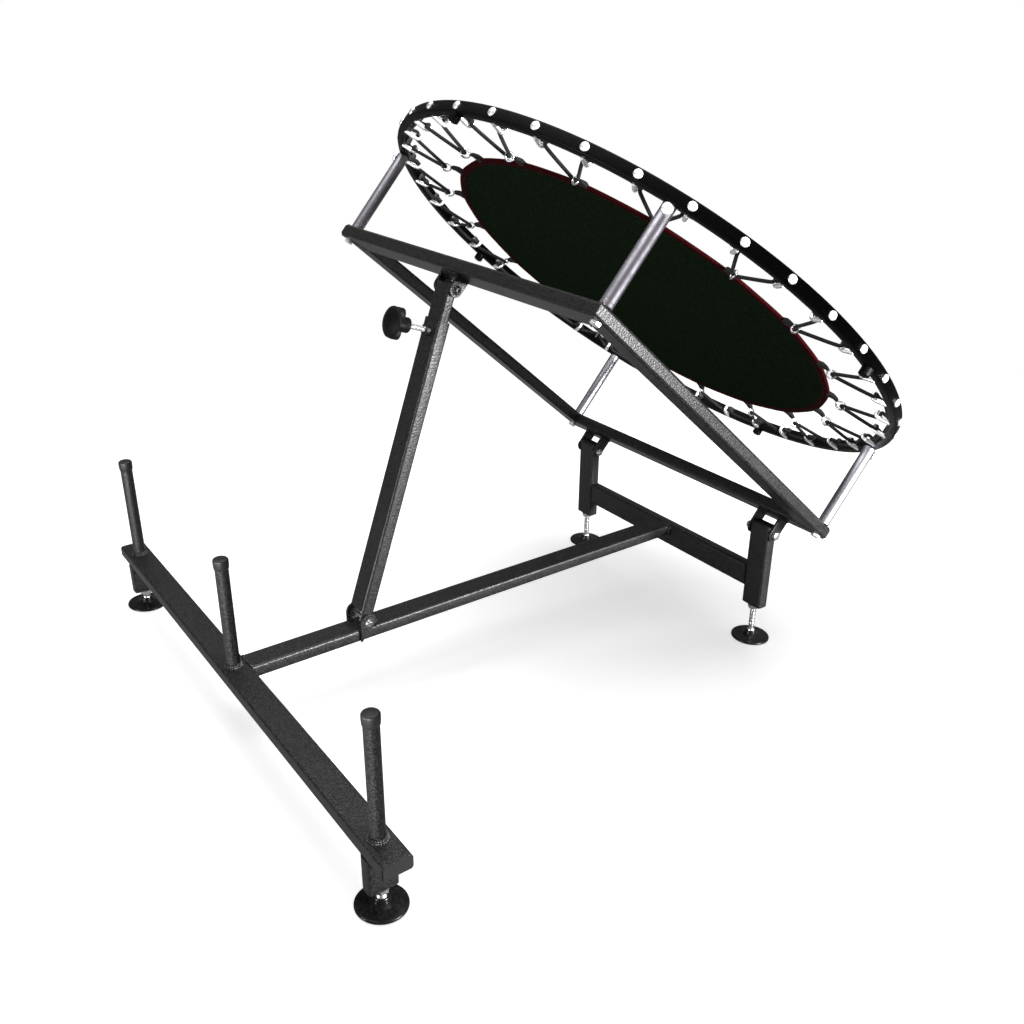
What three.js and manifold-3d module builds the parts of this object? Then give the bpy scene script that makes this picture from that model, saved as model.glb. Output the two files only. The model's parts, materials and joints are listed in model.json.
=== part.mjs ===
// Medicine ball rebounder: a round mat laced into a steel ring, on a frame that tilts on a floor base.
// Millimetres, +Z up. X runs along the peg beam, Y runs from the peg beam to the hinge uprights.
// The base stands slightly nose down on its four levelling feet, whose pads lie on the plane z = 0.

import * as THREE from 'three';
import { mergeVertices } from 'three/addons/utils/BufferGeometryUtils.js';
import Module from 'manifold-3d';

const wasm = await Module();
wasm.setup();

const degree = Math.PI / 180;
const halfTurn = Math.PI;
const fullTurn = 2 * Math.PI;
const quarterTurn = Math.PI / 2;

// Flat steel tube that the base, the strut and the tilting frame are all cut from
const tubeWide = 40;
const tubeThin = 20;
const tubeWall = 2;
const tubeCorner = 4;

// Gaps
const weldGap = 0.3;
const seatGap = 0.3;
const runningGap = 0.5;
const cutOverrun = 2;

// Base
const pegBeamLength = 927;
const centreBeamLength = 810;
const uprightSpacing = 452;
const uprightRise = 80;
const legDrop = 50;
const legFromEnd = 41.5;
const footPlate = 4;

// Weight pegs
const pegDiameter = 19;
const pegHeight = 169;
const pegWall = 2;
const pegCapDiameter = 22.5;
const pegCapDepth = 13;
const pegCapTop = 3;
const pegCapRound = 2.5;

// Plastic plugs in the open tube ends
const plugFlange = 3;
const plugInsert = 12;
const uprightPlugInsert = 4;
const plugGap = 0.4;
const plugRound = 1.2;

// Levelling feet
const padDiameter = 65;
const padEdge = 4;
const padHub = 20;
const padHubHeight = 14;
const padShoulder = 6;
const padChamfer = 1.5;
const ballDiameter = 14;
const ballHeight = 12;
const socketGap = 0.8;
const stemDiameter = 10;
const stemLength = 62;
const frontFootDrop = 17.3;
const rearFootDrop = 54;
const nutAcross = 17;
const nutThick = 8;
const threadGap = 0.4;

// Hinge of the tilting frame
const hingeDrop = 10;
const hingeToRail = 32;
const hingeBoltDiameter = 8;
const hingeEar = 4;
const hingeEarRound = 11.5;
const hingeEarWidth = 24;
const hingeWeb = 4;
const boltHeadAcross = 13;
const hingeNutAcross = 13;
const boltHeadThick = 6;

// Tilting frame and the posts between its corners and the ring
const frameTilt = 40.8 * degree;
const postCorner = 45.63 * degree;
const postDiameter = 19;
const postLength = 145;
const postInsetX = 9.5;
const postInsetY = 15.5;
const postScrewHead = 15;
const postScrewHeight = 5;
const postScrewDrop = 9;
const postChamfer = 1.5;
const postBoltDiameter = 8;
const postBoltDepth = 30;
const postBoltHead = 13;
const postBoltHeadThick = 5;

// Share of a dome head's height at its rim, and share of its radius at its flat top
const domeRimShare = 1 / 3;
const domeTopShare = 1 / 2;

// Ring and its fixings
const ringDiameter = 914;
const ringBand = 14;
const ringDepth = 18.5;
const ringCorner = 3;
const fixingCount = 38;
const fixingHead = 15;
const fixingHeadHeight = 4.5;
const hookDiameter = 7;
const hookReach = 20;
const hookLip = 4;
const laceDrop = 8;
const ringSegments = 76;

// Mat: a disc of cloth whose edge is folded into a binding with tabs and eyes
const laceSpan = 99;
const clothThick = 3;
const bindingWidth = 12;
const bindingThick = 6;
const bindingSlope = 2;
const bindingWall = 3;
const foldGap = 0.3;
const eyeReach = 24;
const eyeRim = 2.2;
const eyePlate = 3;
const eyeGap = 1.4;
const eyeNeck = 5;
const tabWidth = 13;
const tabReach = 11;
const tabThick = 3.6;

// Shock cord that is laced between the ring and the mat
const cordDiameter = 6;
const cordGap = 0.35;
const cordTurnRadius = 5.4;
const cordSides = 5;

// Telescoping strut
const strutFootPlace = 185;
const strutPinDiameter = 8;
const strutPinHead = 15;
const strutPinHeadThick = 5;
const strutPinNutThick = 7;
const strutEyeGap = 0.5;
const strutTopDrop = 19;
const sleeveShort = 47.5;
const sleeveNotch = 14;
const sleeveSeat = 0.5;
const slideGap = 0.5;
const strutForward = 3;
const innerBottom = 60;
const openPivotGap = 1.8;
const lugThick = 4;
const lugWidth = 28;
const bracketWidth = 22;
const bracketWeb = 4;

// Lock screw and star knob
const lockBelowTop = 17;
const lockBossDiameter = 17;
const lockBossHeight = 8;
const lockScrewDiameter = 8;
const lockScrewGap = 0.4;
const knobStandOff = 28;
const knobHubDiameter = 22;
const knobHubLength = 14;
const knobDiameter = 47;
const knobThick = 20;
const knobLobes = 5;
const knobLobeRadius = 8;
const knobWaistShare = 0.62;
const knobEdge = 2.5;
const knobBoreDepth = 16;

// Counts of flat faces
const roundSides = 16;
const smallSides = 12;
const headSides = 8;
const holeSteps = 6;
const cornerSteps = 1;
const padSides = 14;
const fixingSides = 6;
const socketSteps = 3;
const matSegments = 38;

// Finishes
const finishes = {
  paint: { color: 0x1d1e1f, roughness: 0.5, metalness: 0.4 },
  chrome: { color: 0xd8d6de, roughness: 0.15, metalness: 1 },
  zinc: { color: 0xb9bcc0, roughness: 0.35, metalness: 1 },
  plastic: { color: 0x141414, roughness: 0.6, metalness: 0 },
  rubber: { color: 0x191919, roughness: 0.85, metalness: 0 },
  weave: { color: 0x0b130e, roughness: 0.9, metalness: 0 },
  binding: { color: 0x2d0508, roughness: 0.85, metalness: 0 },
  cord: { color: 0x1a1c1c, roughness: 0.8, metalness: 0 },
};

// Solids and flat outlines

function solidOf(geometry) {
  const bare = geometry.clone();
  bare.deleteAttribute('normal');
  bare.deleteAttribute('uv');
  const merged = mergeVertices(bare);
  const index = Array.from(merged.index.array);
  const kept = [];
  for (let i = 0; i < index.length; i += 3) {
    const [a, b, c] = index.slice(i, i + 3);
    if (a !== b && b !== c && c !== a) kept.push(a, b, c);
  }
  return new wasm.Manifold(new wasm.Mesh({
    numProp: 3,
    vertProperties: new Float32Array(merged.attributes.position.array),
    triVerts: new Uint32Array(kept),
  }));
}

function geometryOf(solid) {
  const mesh = solid.getMesh();
  const geometry = new THREE.BufferGeometry();
  geometry.setAttribute('position', new THREE.BufferAttribute(new Float32Array(mesh.vertProperties), 3));
  geometry.setIndex(new THREE.BufferAttribute(new Uint32Array(mesh.triVerts), 1));
  geometry.computeVertexNormals();
  return geometry;
}

function joined(first, ...others) {
  return geometryOf(others.reduce((sum, other) => sum.add(solidOf(other)), solidOf(first)));
}

function cut(first, ...tools) {
  return geometryOf(tools.reduce((rest, tool) => rest.subtract(solidOf(tool)), solidOf(first)));
}

function moved(geometry, x, y, z) {
  return geometry.clone().translate(x, y, z);
}

function roundedRectangle(width, height, radius, Outline = THREE.Shape) {
  const outline = new Outline();
  const x = width / 2 - radius;
  const y = height / 2 - radius;
  outline.absarc(x, y, radius, 0, quarterTurn);
  outline.absarc(-x, y, radius, quarterTurn, halfTurn);
  outline.absarc(-x, -y, radius, halfTurn, halfTurn + quarterTurn);
  outline.absarc(x, -y, radius, halfTurn + quarterTurn, fullTurn);
  outline.closePath();
  return outline;
}

function extruded(outline, depth, segments = cornerSteps) {
  return new THREE.ExtrudeGeometry(outline, { depth, bevelEnabled: false, curveSegments: segments });
}

// A length of rectangular tube: width along X, depth along Y, run along Z from zero
function rectangularTube(width, depth, run, wall, corner) {
  const outline = roundedRectangle(width, depth, corner);
  outline.holes.push(roundedRectangle(width - 2 * wall, depth - 2 * wall, corner - wall, THREE.Path));
  return extruded(outline, run);
}

// Slants both ends of a run along Z so that they meet a neighbour at half the corner angle
function mitred(geometry, run, slope) {
  const place = geometry.attributes.position;
  for (let i = 0; i < place.count; i += 1) {
    const lean = place.getX(i) * slope;
    place.setZ(i, place.getZ(i) < run / 2 ? -lean : run + lean);
  }
  return geometry;
}

function rod(radius, length, sides = roundSides) {
  return new THREE.CylinderGeometry(radius, radius, length, sides);
}

function rodAlongX(radius, length, sides = roundSides) {
  return rod(radius, length, sides).rotateZ(quarterTurn);
}

function rodAlongZ(radius, length, sides = roundSides) {
  return rod(radius, length, sides).rotateX(quarterTurn);
}

// A turned piece about Z from pairs of radius and height
function turned(pairs, sides = roundSides) {
  const profile = pairs.map(([radius, height]) => new THREE.Vector2(radius, height));
  return new THREE.LatheGeometry(profile, sides).rotateX(quarterTurn);
}

function arcPairs(radius, height, from, to, steps) {
  const pairs = [];
  for (let i = 0; i <= steps; i += 1) {
    const angle = from + ((to - from) * i) / steps;
    pairs.push([radius * Math.cos(angle), height + radius * Math.sin(angle)]);
  }
  return pairs;
}

function addPart(group, name, geometry, finish, place = [0, 0, 0]) {
  const mesh = new THREE.Mesh(geometry, new THREE.MeshStandardMaterial(finishes[finish]));
  mesh.name = name;
  mesh.position.set(...place);
  group.add(mesh);
  return mesh;
}

const sides = [['left', -1], ['right', 1]];

// Places on the base that the other parts follow
const beamTop = tubeThin;
const rearFront = tubeWide + weldGap + centreBeamLength + weldGap;
const rearCentre = rearFront + tubeThin / 2;
const hingeHeight = beamTop + uprightRise - hingeDrop;
const frontFootY = tubeWide / 2;
const legSpacing = pegBeamLength - 2 * legFromEnd;

// The base leans forward because its rear feet are screwed out further than its front feet
const baseSlope = Math.atan((rearFootDrop - frontFootDrop) / (rearCentre - frontFootY));

// The outer pegs stand over the front legs
const pegPlaces = [['left', -legSpacing / 2], ['centre', 0], ['right', legSpacing / 2]];

const root = new THREE.Group();
const base = new THREE.Group();
base.rotation.x = baseSlope;
root.add(base);

// Base beams

function addBeams() {
  const pegBeam = rectangularTube(tubeThin, tubeWide, pegBeamLength, tubeWall, tubeCorner);
  pegBeam.rotateY(quarterTurn).translate(-pegBeamLength / 2, 0, 0);
  // Each peg goes in through a hole in the beam's top wall
  const pegHole = rodAlongZ(pegDiameter / 2 + weldGap, tubeThin, smallSides);
  const pegHoles = pegPlaces.map(([, x]) => moved(pegHole, x, 0, tubeThin / 2));
  addPart(base, 'peg_beam', cut(pegBeam, ...pegHoles), 'paint', [0, tubeWide / 2, beamTop / 2]);

  const centreBeam = rectangularTube(tubeWide, tubeThin, centreBeamLength, tubeWall, tubeCorner);
  centreBeam.rotateX(-quarterTurn);
  addPart(base, 'centre_beam', centreBeam, 'paint', [0, tubeWide + weldGap, beamTop / 2]);

  const rearBeamLength = uprightSpacing - tubeWide - 2 * weldGap;
  const rearBeam = rectangularTube(tubeWide, tubeThin, rearBeamLength, tubeWall, tubeCorner);
  rearBeam.rotateY(quarterTurn);
  addPart(base, 'rear_beam', rearBeam, 'paint',
    [-rearBeamLength / 2, rearCentre, beamTop - tubeWide / 2]);
}

// A plug whose flange covers a tube end and whose insert sits inside it; the flange starts at zero
function tubePlug(depth) {
  const inside = 2 * (tubeWall + plugGap);
  const flange = extruded(roundedRectangle(tubeWide, tubeThin, tubeCorner), plugFlange - plugRound);
  const crown = extruded(
    roundedRectangle(tubeWide - 2 * plugRound, tubeThin - 2 * plugRound, tubeCorner - plugRound),
    plugFlange,
  );
  const insert = extruded(
    roundedRectangle(tubeWide - inside, tubeThin - inside, tubeCorner - tubeWall),
    depth + plugRound,
  );
  return joined(flange, crown, moved(insert, 0, 0, -depth));
}

function addPlugs() {
  for (const [name, side] of sides) {
    const endPlug = tubePlug(plugInsert).rotateZ(quarterTurn).rotateY(side * quarterTurn);
    addPart(base, `peg_beam_plug_${name}`, endPlug, 'plastic',
      [side * (pegBeamLength / 2 + seatGap), tubeWide / 2, beamTop / 2]);
    addPart(base, `upright_plug_${name}`, tubePlug(uprightPlugInsert), 'plastic',
      [(side * uprightSpacing) / 2, rearCentre, beamTop + uprightRise + seatGap]);
  }
}

// Pegs that hold weight plates on the peg beam

function addPegs() {
  const radius = pegDiameter / 2;
  const bore = radius - pegWall;
  const bottom = tubeWall + weldGap;
  const top = beamTop + pegHeight;
  const run = top - bottom;
  const shaft = turned([[bore, 0], [radius, 0], [radius, run], [bore, run], [bore, 0]], smallSides);
  const capOuter = pegCapDiameter / 2;
  const capInner = radius + plugGap;
  const cap = turned([
    [capInner, -pegCapDepth],
    [capOuter, -pegCapDepth],
    [capOuter, pegCapTop - pegCapRound],
    [capOuter - pegCapRound, pegCapTop],
    [0, pegCapTop],
    [0, seatGap],
    [capInner, seatGap],
    [capInner, -pegCapDepth],
  ], smallSides);
  for (const [name, x] of pegPlaces) {
    addPart(base, `weight_peg_${name}`, shaft.clone(), 'paint', [x, tubeWide / 2, bottom]);
    addPart(base, `peg_cap_${name}`, cap.clone(), 'plastic', [x, tubeWide / 2, top]);
  }
}

// Legs and uprights are tubes on end, closed below by a drilled plate that takes the foot's stem

function footedTube(width, depth, run, top) {
  const tube = rectangularTube(width, depth, run, tubeWall, tubeCorner);
  const plate = extruded(roundedRectangle(width, depth, tubeCorner), footPlate);
  const bore = rodAlongZ(stemDiameter / 2 + threadGap, footPlate + 2 * cutOverrun);
  return moved(cut(joined(tube, plate), moved(bore, 0, 0, footPlate / 2)), 0, 0, top - run);
}

function addLegs() {
  const uprightRun = uprightRise + beamTop + legDrop;
  const across = rodAlongX(hingeBoltDiameter / 2 + runningGap, tubeWide + 2 * cutOverrun);
  for (const [name, side] of sides) {
    const leg = footedTube(tubeThin, tubeWide, legDrop - weldGap, -weldGap);
    addPart(base, `front_leg_${name}`, leg, 'paint', [(side * legSpacing) / 2, frontFootY, 0]);
    const upright = footedTube(tubeWide, tubeThin, uprightRun, beamTop + uprightRise);
    addPart(base, `rear_upright_${name}`, cut(upright, moved(across, 0, 0, hingeHeight)), 'paint',
      [(side * uprightSpacing) / 2, rearCentre, 0]);
  }
}

// Levelling feet: a stem with a ball end, a lock nut under the leg and a pad that swivels level

const frontBallZ = -legDrop - frontFootDrop;
const rearBallZ = -legDrop - rearFootDrop;
base.position.z = ballHeight - rearBallZ * Math.cos(baseSlope) - rearCentre * Math.sin(baseSlope);

function footStem() {
  const ball = ballDiameter / 2;
  const radius = stemDiameter / 2;
  const meet = Math.acos(radius / ball);
  return turned([
    ...arcPairs(ball, 0, -quarterTurn, meet, 2 * socketSteps),
    [radius, stemLength - padChamfer],
    [radius - padChamfer, stemLength],
    [0, stemLength],
  ], headSides);
}

function footPad() {
  const outer = padDiameter / 2;
  const hub = padHub / 2;
  const socket = ballDiameter / 2 + socketGap;
  const rim = Math.asin((padHubHeight - ballHeight) / socket);
  return turned([
    [0, 0],
    [outer - padChamfer, 0],
    [outer, padChamfer],
    [outer, padEdge - padChamfer],
    [outer - padChamfer, padEdge],
    [hub + padChamfer, padShoulder],
    [hub - padChamfer, padHubHeight],
    ...arcPairs(socket, ballHeight, rim, -quarterTurn, socketSteps),
  ], padSides);
}

function hexNut(across, thick, bore) {
  const outline = new THREE.Shape();
  const corner = across / 2 / Math.cos(fullTurn / 12);
  outline.moveTo(corner, 0);
  for (let i = 1; i < 6; i += 1) {
    outline.lineTo(corner * Math.cos((fullTurn * i) / 6), corner * Math.sin((fullTurn * i) / 6));
  }
  outline.closePath();
  if (bore) outline.holes.push(new THREE.Path().absarc(0, 0, bore, 0, fullTurn, true));
  return extruded(outline, thick, holeSteps);
}

function addFeet() {
  const feet = [
    ['front', legSpacing / 2, frontFootY, frontBallZ],
    ['rear', uprightSpacing / 2, rearCentre, rearBallZ],
  ];
  const nut = hexNut(nutAcross, nutThick, stemDiameter / 2 + threadGap);
  for (const [end, x, y, ballZ] of feet) {
    for (const [name, side] of sides) {
      addPart(base, `foot_stem_${end}_${name}`, footStem(), 'zinc', [side * x, y, ballZ]);
      addPart(base, `foot_nut_${end}_${name}`, nut.clone(), 'zinc',
        [side * x, y, -legDrop - seatGap - nutThick]);
      const swivel = new THREE.Group();
      swivel.position.set(side * x, y, ballZ);
      swivel.rotation.x = -baseSlope;
      base.add(swivel);
      addPart(swivel, `foot_pad_${end}_${name}`, footPad(), 'rubber', [0, 0, -ballHeight]);
    }
  }
}

// Tilting frame: its group stands at the hinge axis, with -Y up the slope and +Z towards the ring

const tilt = new THREE.Group();
tilt.position.set(0, rearCentre, hingeHeight);
tilt.rotation.x = -frameTilt;
base.add(tilt);

// The posts stand flush with the outside of the ring, and the frame's corners lie under them
const postCircle = (ringDiameter - postDiameter) / 2;
const postX = postCircle * Math.cos(postCorner);
const postY = postCircle * Math.sin(postCorner);
const frameWidth = 2 * (postX + postInsetX);
const frameLength = 2 * (postY + postInsetY);
const railSpan = frameLength - tubeWide;
const railX = (frameWidth - tubeWide) / 2;
const railMiddle = hingeToRail + tubeThin / 2;
const frameMiddle = -railSpan / 2;
const railTop = hingeToRail + tubeThin;

function cornerPosts() {
  const corners = [];
  for (const [end, along] of [['upper', -1], ['lower', 1]]) {
    for (const [name, side] of sides) {
      corners.push([`${end}_${name}`, side * postX, frameMiddle + along * postY]);
    }
  }
  return corners;
}

function railWithHoles(rail, turn, x, y) {
  const placed = rail.clone().applyMatrix4(turn).translate(x, y, railMiddle);
  const holes = cornerPosts().map(([, holeX, holeY]) => moved(
    rodAlongZ(postBoltDiameter / 2 + seatGap, tubeThin + 2 * cutOverrun, smallSides),
    holeX, holeY, railMiddle,
  ));
  return cut(placed, ...holes);
}

function addRails() {
  const across = frameWidth - 2 * weldGap;
  const along = frameLength - 2 * weldGap;
  const crossRail = () => mitred(
    rectangularTube(tubeWide, tubeThin, across - tubeWide, tubeWall, tubeCorner), across - tubeWide, 1);
  const sideRail = () => mitred(
    rectangularTube(tubeWide, tubeThin, along - tubeWide, tubeWall, tubeCorner), along - tubeWide, 1);
  // Columns are where a rail's width, thickness and run point in the frame
  const turnFor = (width, thickness, run) => new THREE.Matrix4().makeBasis(width, thickness, run);
  const axisX = new THREE.Vector3(1, 0, 0);
  const axisY = new THREE.Vector3(0, 1, 0);
  const axisZ = new THREE.Vector3(0, 0, 1);
  const upperTurn = turnFor(axisY.clone().negate(), axisZ.clone().negate(), axisX);
  const lowerTurn = turnFor(axisY, axisZ, axisX);
  addPart(tilt, 'upper_rail',
    railWithHoles(crossRail(), upperTurn, -(across - tubeWide) / 2, -railSpan), 'paint');
  addPart(tilt, 'lower_rail',
    railWithHoles(crossRail(), lowerTurn, -(across - tubeWide) / 2, 0), 'paint');
  for (const [name, side] of sides) {
    const width = axisX.clone().multiplyScalar(side);
    const thickness = axisZ.clone().multiplyScalar(-side);
    const sideTurn = turnFor(width, thickness, axisY);
    addPart(tilt, `side_rail_${name}`,
      railWithHoles(sideRail(), sideTurn, side * railX, frameMiddle - (along - tubeWide) / 2), 'paint');
  }
}

// A channel bracket: a web under a rail and two ears that narrow to a round eye; the eye is at zero
function earBracket(width, eyeRound, earFace, thick, web, webTop, hole) {
  const slant = Math.atan2(width / 2 - eyeRound, webTop - web);
  const outline = new THREE.Shape();
  outline.moveTo(width / 2, webTop);
  outline.lineTo(-width / 2, webTop);
  outline.lineTo(-width / 2, webTop - web);
  outline.absarc(0, 0, eyeRound, halfTurn - slant, fullTurn + slant);
  outline.lineTo(width / 2, webTop - web);
  outline.closePath();
  outline.holes.push(new THREE.Path().absarc(0, 0, hole, 0, fullTurn, true));
  const ear = extruded(outline, thick, holeSteps).rotateX(quarterTurn).rotateZ(quarterTurn);
  const plate = new THREE.BoxGeometry(2 * (earFace + thick), width, web);
  return joined(
    moved(ear, earFace, 0, 0),
    moved(ear, -earFace - thick, 0, 0),
    moved(plate, 0, 0, webTop - web / 2),
  );
}

function addHinges() {
  const bolt = hingeBoltDiameter / 2;
  const earFace = tubeWide / 2 + runningGap;
  const outside = earFace + hingeEar;
  const bracket = earBracket(hingeEarWidth, hingeEarRound, earFace, hingeEar, hingeWeb,
    hingeToRail - weldGap, bolt + runningGap);
  const reach = 2 * (outside + seatGap) + nutThick;
  const head = boltHeadAcross / 2;
  const shaft = turned([
    [0, -boltHeadThick],
    [head - padChamfer, -boltHeadThick],
    [head, -boltHeadThick + padChamfer],
    [head, 0],
    [bolt, 0],
    [bolt, reach],
    [0, reach],
  ], smallSides);
  const nut = hexNut(hingeNutAcross, nutThick, bolt + threadGap);
  for (const [name, side] of sides) {
    const x = (side * uprightSpacing) / 2;
    addPart(tilt, `hinge_bracket_${name}`, bracket.clone(), 'paint', [x, 0, 0]);
    addPart(base, `hinge_bolt_${name}`, shaft.clone().rotateY(-side * quarterTurn), 'zinc',
      [x + side * (outside + seatGap), rearCentre, hingeHeight]);
    addPart(base, `hinge_nut_${name}`, nut.clone().rotateY(-side * quarterTurn), 'zinc',
      [x - side * (outside + seatGap), rearCentre, hingeHeight]);
  }
}

// Posts and the bolts that hold them to the frame

function addPosts() {
  const radius = postDiameter / 2;
  const bore = postBoltDiameter / 2 + seatGap;
  const run = postLength - 2 * seatGap;
  const post = turned([
    [bore, 0],
    [radius, 0],
    [radius, run - postChamfer],
    [radius - postChamfer, run],
    [0, run],
    [0, postBoltDepth],
    [bore, postBoltDepth],
    [bore, 0],
  ], smallSides);
  const screwRadius = postScrewHead / 2;
  const screw = turned([
    [0, 0],
    [screwRadius, 0],
    [screwRadius, radius + postScrewHeight * domeRimShare],
    [screwRadius * domeTopShare, radius + postScrewHeight],
    [0, radius + postScrewHeight],
  ], headSides).rotateY(quarterTurn).translate(0, 0, run - postScrewDrop);
  const headRadius = postBoltHead / 2;
  const boltRadius = postBoltDiameter / 2;
  const bolt = turned([
    [0, -postBoltHeadThick],
    [headRadius - padChamfer, -postBoltHeadThick],
    [headRadius, -postBoltHeadThick + padChamfer],
    [headRadius, 0],
    [boltRadius, 0],
    [boltRadius, tubeThin + postBoltDepth - padChamfer],
    [0, tubeThin + postBoltDepth - padChamfer],
  ], smallSides);
  for (const [name, x, y] of cornerPosts()) {
    const outward = Math.atan2(y - frameMiddle, x);
    const screwedPost = joined(post, atAngle(screw, outward));
    addPart(tilt, `ring_post_${name}`, screwedPost, 'chrome', [x, y, railTop + seatGap]);
    addPart(tilt, `post_bolt_${name}`, bolt.clone(), 'zinc', [x, y, hingeToRail - seatGap]);
  }
}

// Ring, mat and lacing share a group at the ring's middle, with +Z along the ring's axis

const hoop = new THREE.Group();
hoop.position.set(0, frameMiddle, railTop + postLength + ringDepth / 2);
tilt.add(hoop);

const ringRadius = ringDiameter / 2;
const ringInside = ringRadius - ringBand;
const fixingPitch = fullTurn / fixingCount;
const lacePitch = 2 * fixingPitch;
const laceCount = fixingCount / 2;
const laceStart = -quarterTurn + fixingPitch / 2;

function atAngle(geometry, angle) {
  return geometry.clone().rotateZ(angle);
}

// A turned piece whose axis points outwards along +X, starting at a given radius
function radial(pairs, from) {
  return turned(pairs, fixingSides).rotateY(quarterTurn).translate(from, 0, 0);
}

function addRing() {
  const half = ringDepth / 2;
  const profile = [
    [ringInside + ringCorner, -half],
    [ringRadius - ringCorner, -half],
    [ringRadius, ringCorner - half],
    [ringRadius, half - ringCorner],
    [ringRadius - ringCorner, half],
    [ringInside + ringCorner, half],
    [ringInside, half - ringCorner],
    [ringInside, ringCorner - half],
    [ringInside + ringCorner, -half],
  ];
  const band = turned(profile, ringSegments).rotateZ(halfTurn / ringSegments);
  const shank = ringBand / 2;
  const head = fixingHead / 2;
  const screw = radial([
    [0, -shank],
    [head, -shank],
    [head, fixingHeadHeight * domeRimShare],
    [head * domeTopShare, fixingHeadHeight],
    [0, fixingHeadHeight],
  ], ringRadius);
  const hook = radial([
    [0, -hookReach],
    [hookDiameter / 2, -hookReach],
    [hookDiameter / 2, shank],
    [0, shank],
  ], ringInside).translate(0, 0, -laceDrop);
  const fixings = [];
  for (let i = 0; i < fixingCount; i += 1) {
    const angle = -quarterTurn + i * fixingPitch;
    fixings.push(atAngle(screw, angle), atAngle(hook, angle));
  }
  addPart(hoop, 'ring', joined(band, ...fixings), 'paint');
}

const matRadius = ringInside - laceSpan;
const cordRadius = cordDiameter / 2;
const eyeHole = cordRadius + eyeGap;
const apexRadius = matRadius + eyeReach;

function addMat() {
  const turnToLace = laceStart + quarterTurn + halfTurn / matSegments;
  const foldRadius = matRadius - bindingWall;
  const clothEdge = foldRadius - foldGap;
  const cloth = turned([
    [0, -clothThick / 2],
    [clothEdge, -clothThick / 2],
    [clothEdge, clothThick / 2],
    [0, clothThick / 2],
  ], matSegments);
  addPart(hoop, 'mat', atAngle(cloth, turnToLace), 'weave');

  const inside = matRadius - bindingWidth;
  const half = bindingThick / 2;
  const fold = clothThick / 2 + foldGap;
  const binding = turned([
    [inside + bindingSlope, -half],
    [matRadius, -half],
    [matRadius, half],
    [inside + bindingSlope, half],
    [inside, fold],
    [foldRadius, fold],
    [foldRadius, -fold],
    [inside, -fold],
    [inside + bindingSlope, -half],
  ], matSegments);
  // A cloth tab on the binding carries an upright eye that leans down to the level of the hooks
  const eyeOuter = eyeHole + eyeRim;
  const meet = Math.asin(eyeNeck / 2 / eyeOuter);
  const outline = new THREE.Shape();
  outline.moveTo(-eyeReach, eyeNeck / 2);
  outline.lineTo(-eyeReach, -eyeNeck / 2);
  outline.absarc(0, 0, eyeOuter, -halfTurn + meet, halfTurn - meet);
  outline.closePath();
  outline.holes.push(new THREE.Path().absarc(0, 0, eyeHole, 0, fullTurn, true));
  const plate = moved(extruded(outline, eyePlate, socketSteps), 0, 0, -eyePlate / 2)
    .rotateX(quarterTurn)
    .rotateY(Math.atan2(laceDrop, eyeReach))
    .translate(apexRadius, 0, -laceDrop);
  const tab = new THREE.BoxGeometry(tabReach + bindingWall / 2, tabWidth, tabThick)
    .translate(matRadius + (tabReach - bindingWall / 2) / 2, 0, 0);
  const eye = joined(tab, plate);
  const eyes = [];
  for (let i = 0; i < laceCount; i += 1) eyes.push(atAngle(eye, laceStart + i * lacePitch));
  addPart(hoop, 'mat_binding', joined(atAngle(binding, turnToLace), ...eyes), 'binding');
}

// The cord goes over a hook, down to an eye of the mat, back up over the next hook and along the ring

function lacingPoints() {
  const wrap = hookDiameter / 2 + cordRadius + cordGap;
  const hookMiddle = ringInside - hookReach + hookLip;
  const turnCentre = apexRadius + cordTurnRadius;
  const legAngle = Math.atan2(
    hookMiddle * Math.sin(fixingPitch / 2) - wrap - cordTurnRadius,
    hookMiddle - turnCentre,
  );
  // Over one hook, from the run along the ring to the leg: radius, sideways distance and height
  const ringRun = ringInside - cordRadius - runningGap;
  const half = [
    [ringRun, -2 * wrap, laceDrop / 2],
    [hookMiddle + cordRadius, -hookDiameter, wrap],
    [hookMiddle, hookDiameter - cordRadius / 2, wrap],
    [hookMiddle - cordRadius / 2, wrap, cordRadius / 2],
  ];
  const foot = [];
  const turnSteps = 3;
  for (let i = 0; i < turnSteps; i += 1) {
    const angle = legAngle + ((quarterTurn - legAngle) * i) / turnSteps;
    foot.push([turnCentre - cordTurnRadius * Math.sin(angle), -cordTurnRadius * Math.cos(angle)]);
  }
  const points = [];
  const put = (radius, angle, height) => points.push(
    new THREE.Vector3(radius * Math.cos(angle), radius * Math.sin(angle), height - laceDrop));
  for (let i = 0; i < laceCount; i += 1) {
    const middle = laceStart + i * lacePitch;
    const hook = middle - fixingPitch / 2;
    const nextHook = middle + fixingPitch / 2;
    for (const [radius, aside, height] of half) put(radius, hook + aside / radius, height);
    for (const [radius, aside] of foot) put(radius, middle + aside / radius, 0);
    put(apexRadius, middle, 0);
    for (const [radius, aside] of foot.slice().reverse()) put(radius, middle - aside / radius, 0);
    for (const [radius, aside, height] of half.slice().reverse()) {
      put(radius, nextHook - aside / radius, height);
    }
  }
  return points;
}

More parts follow.
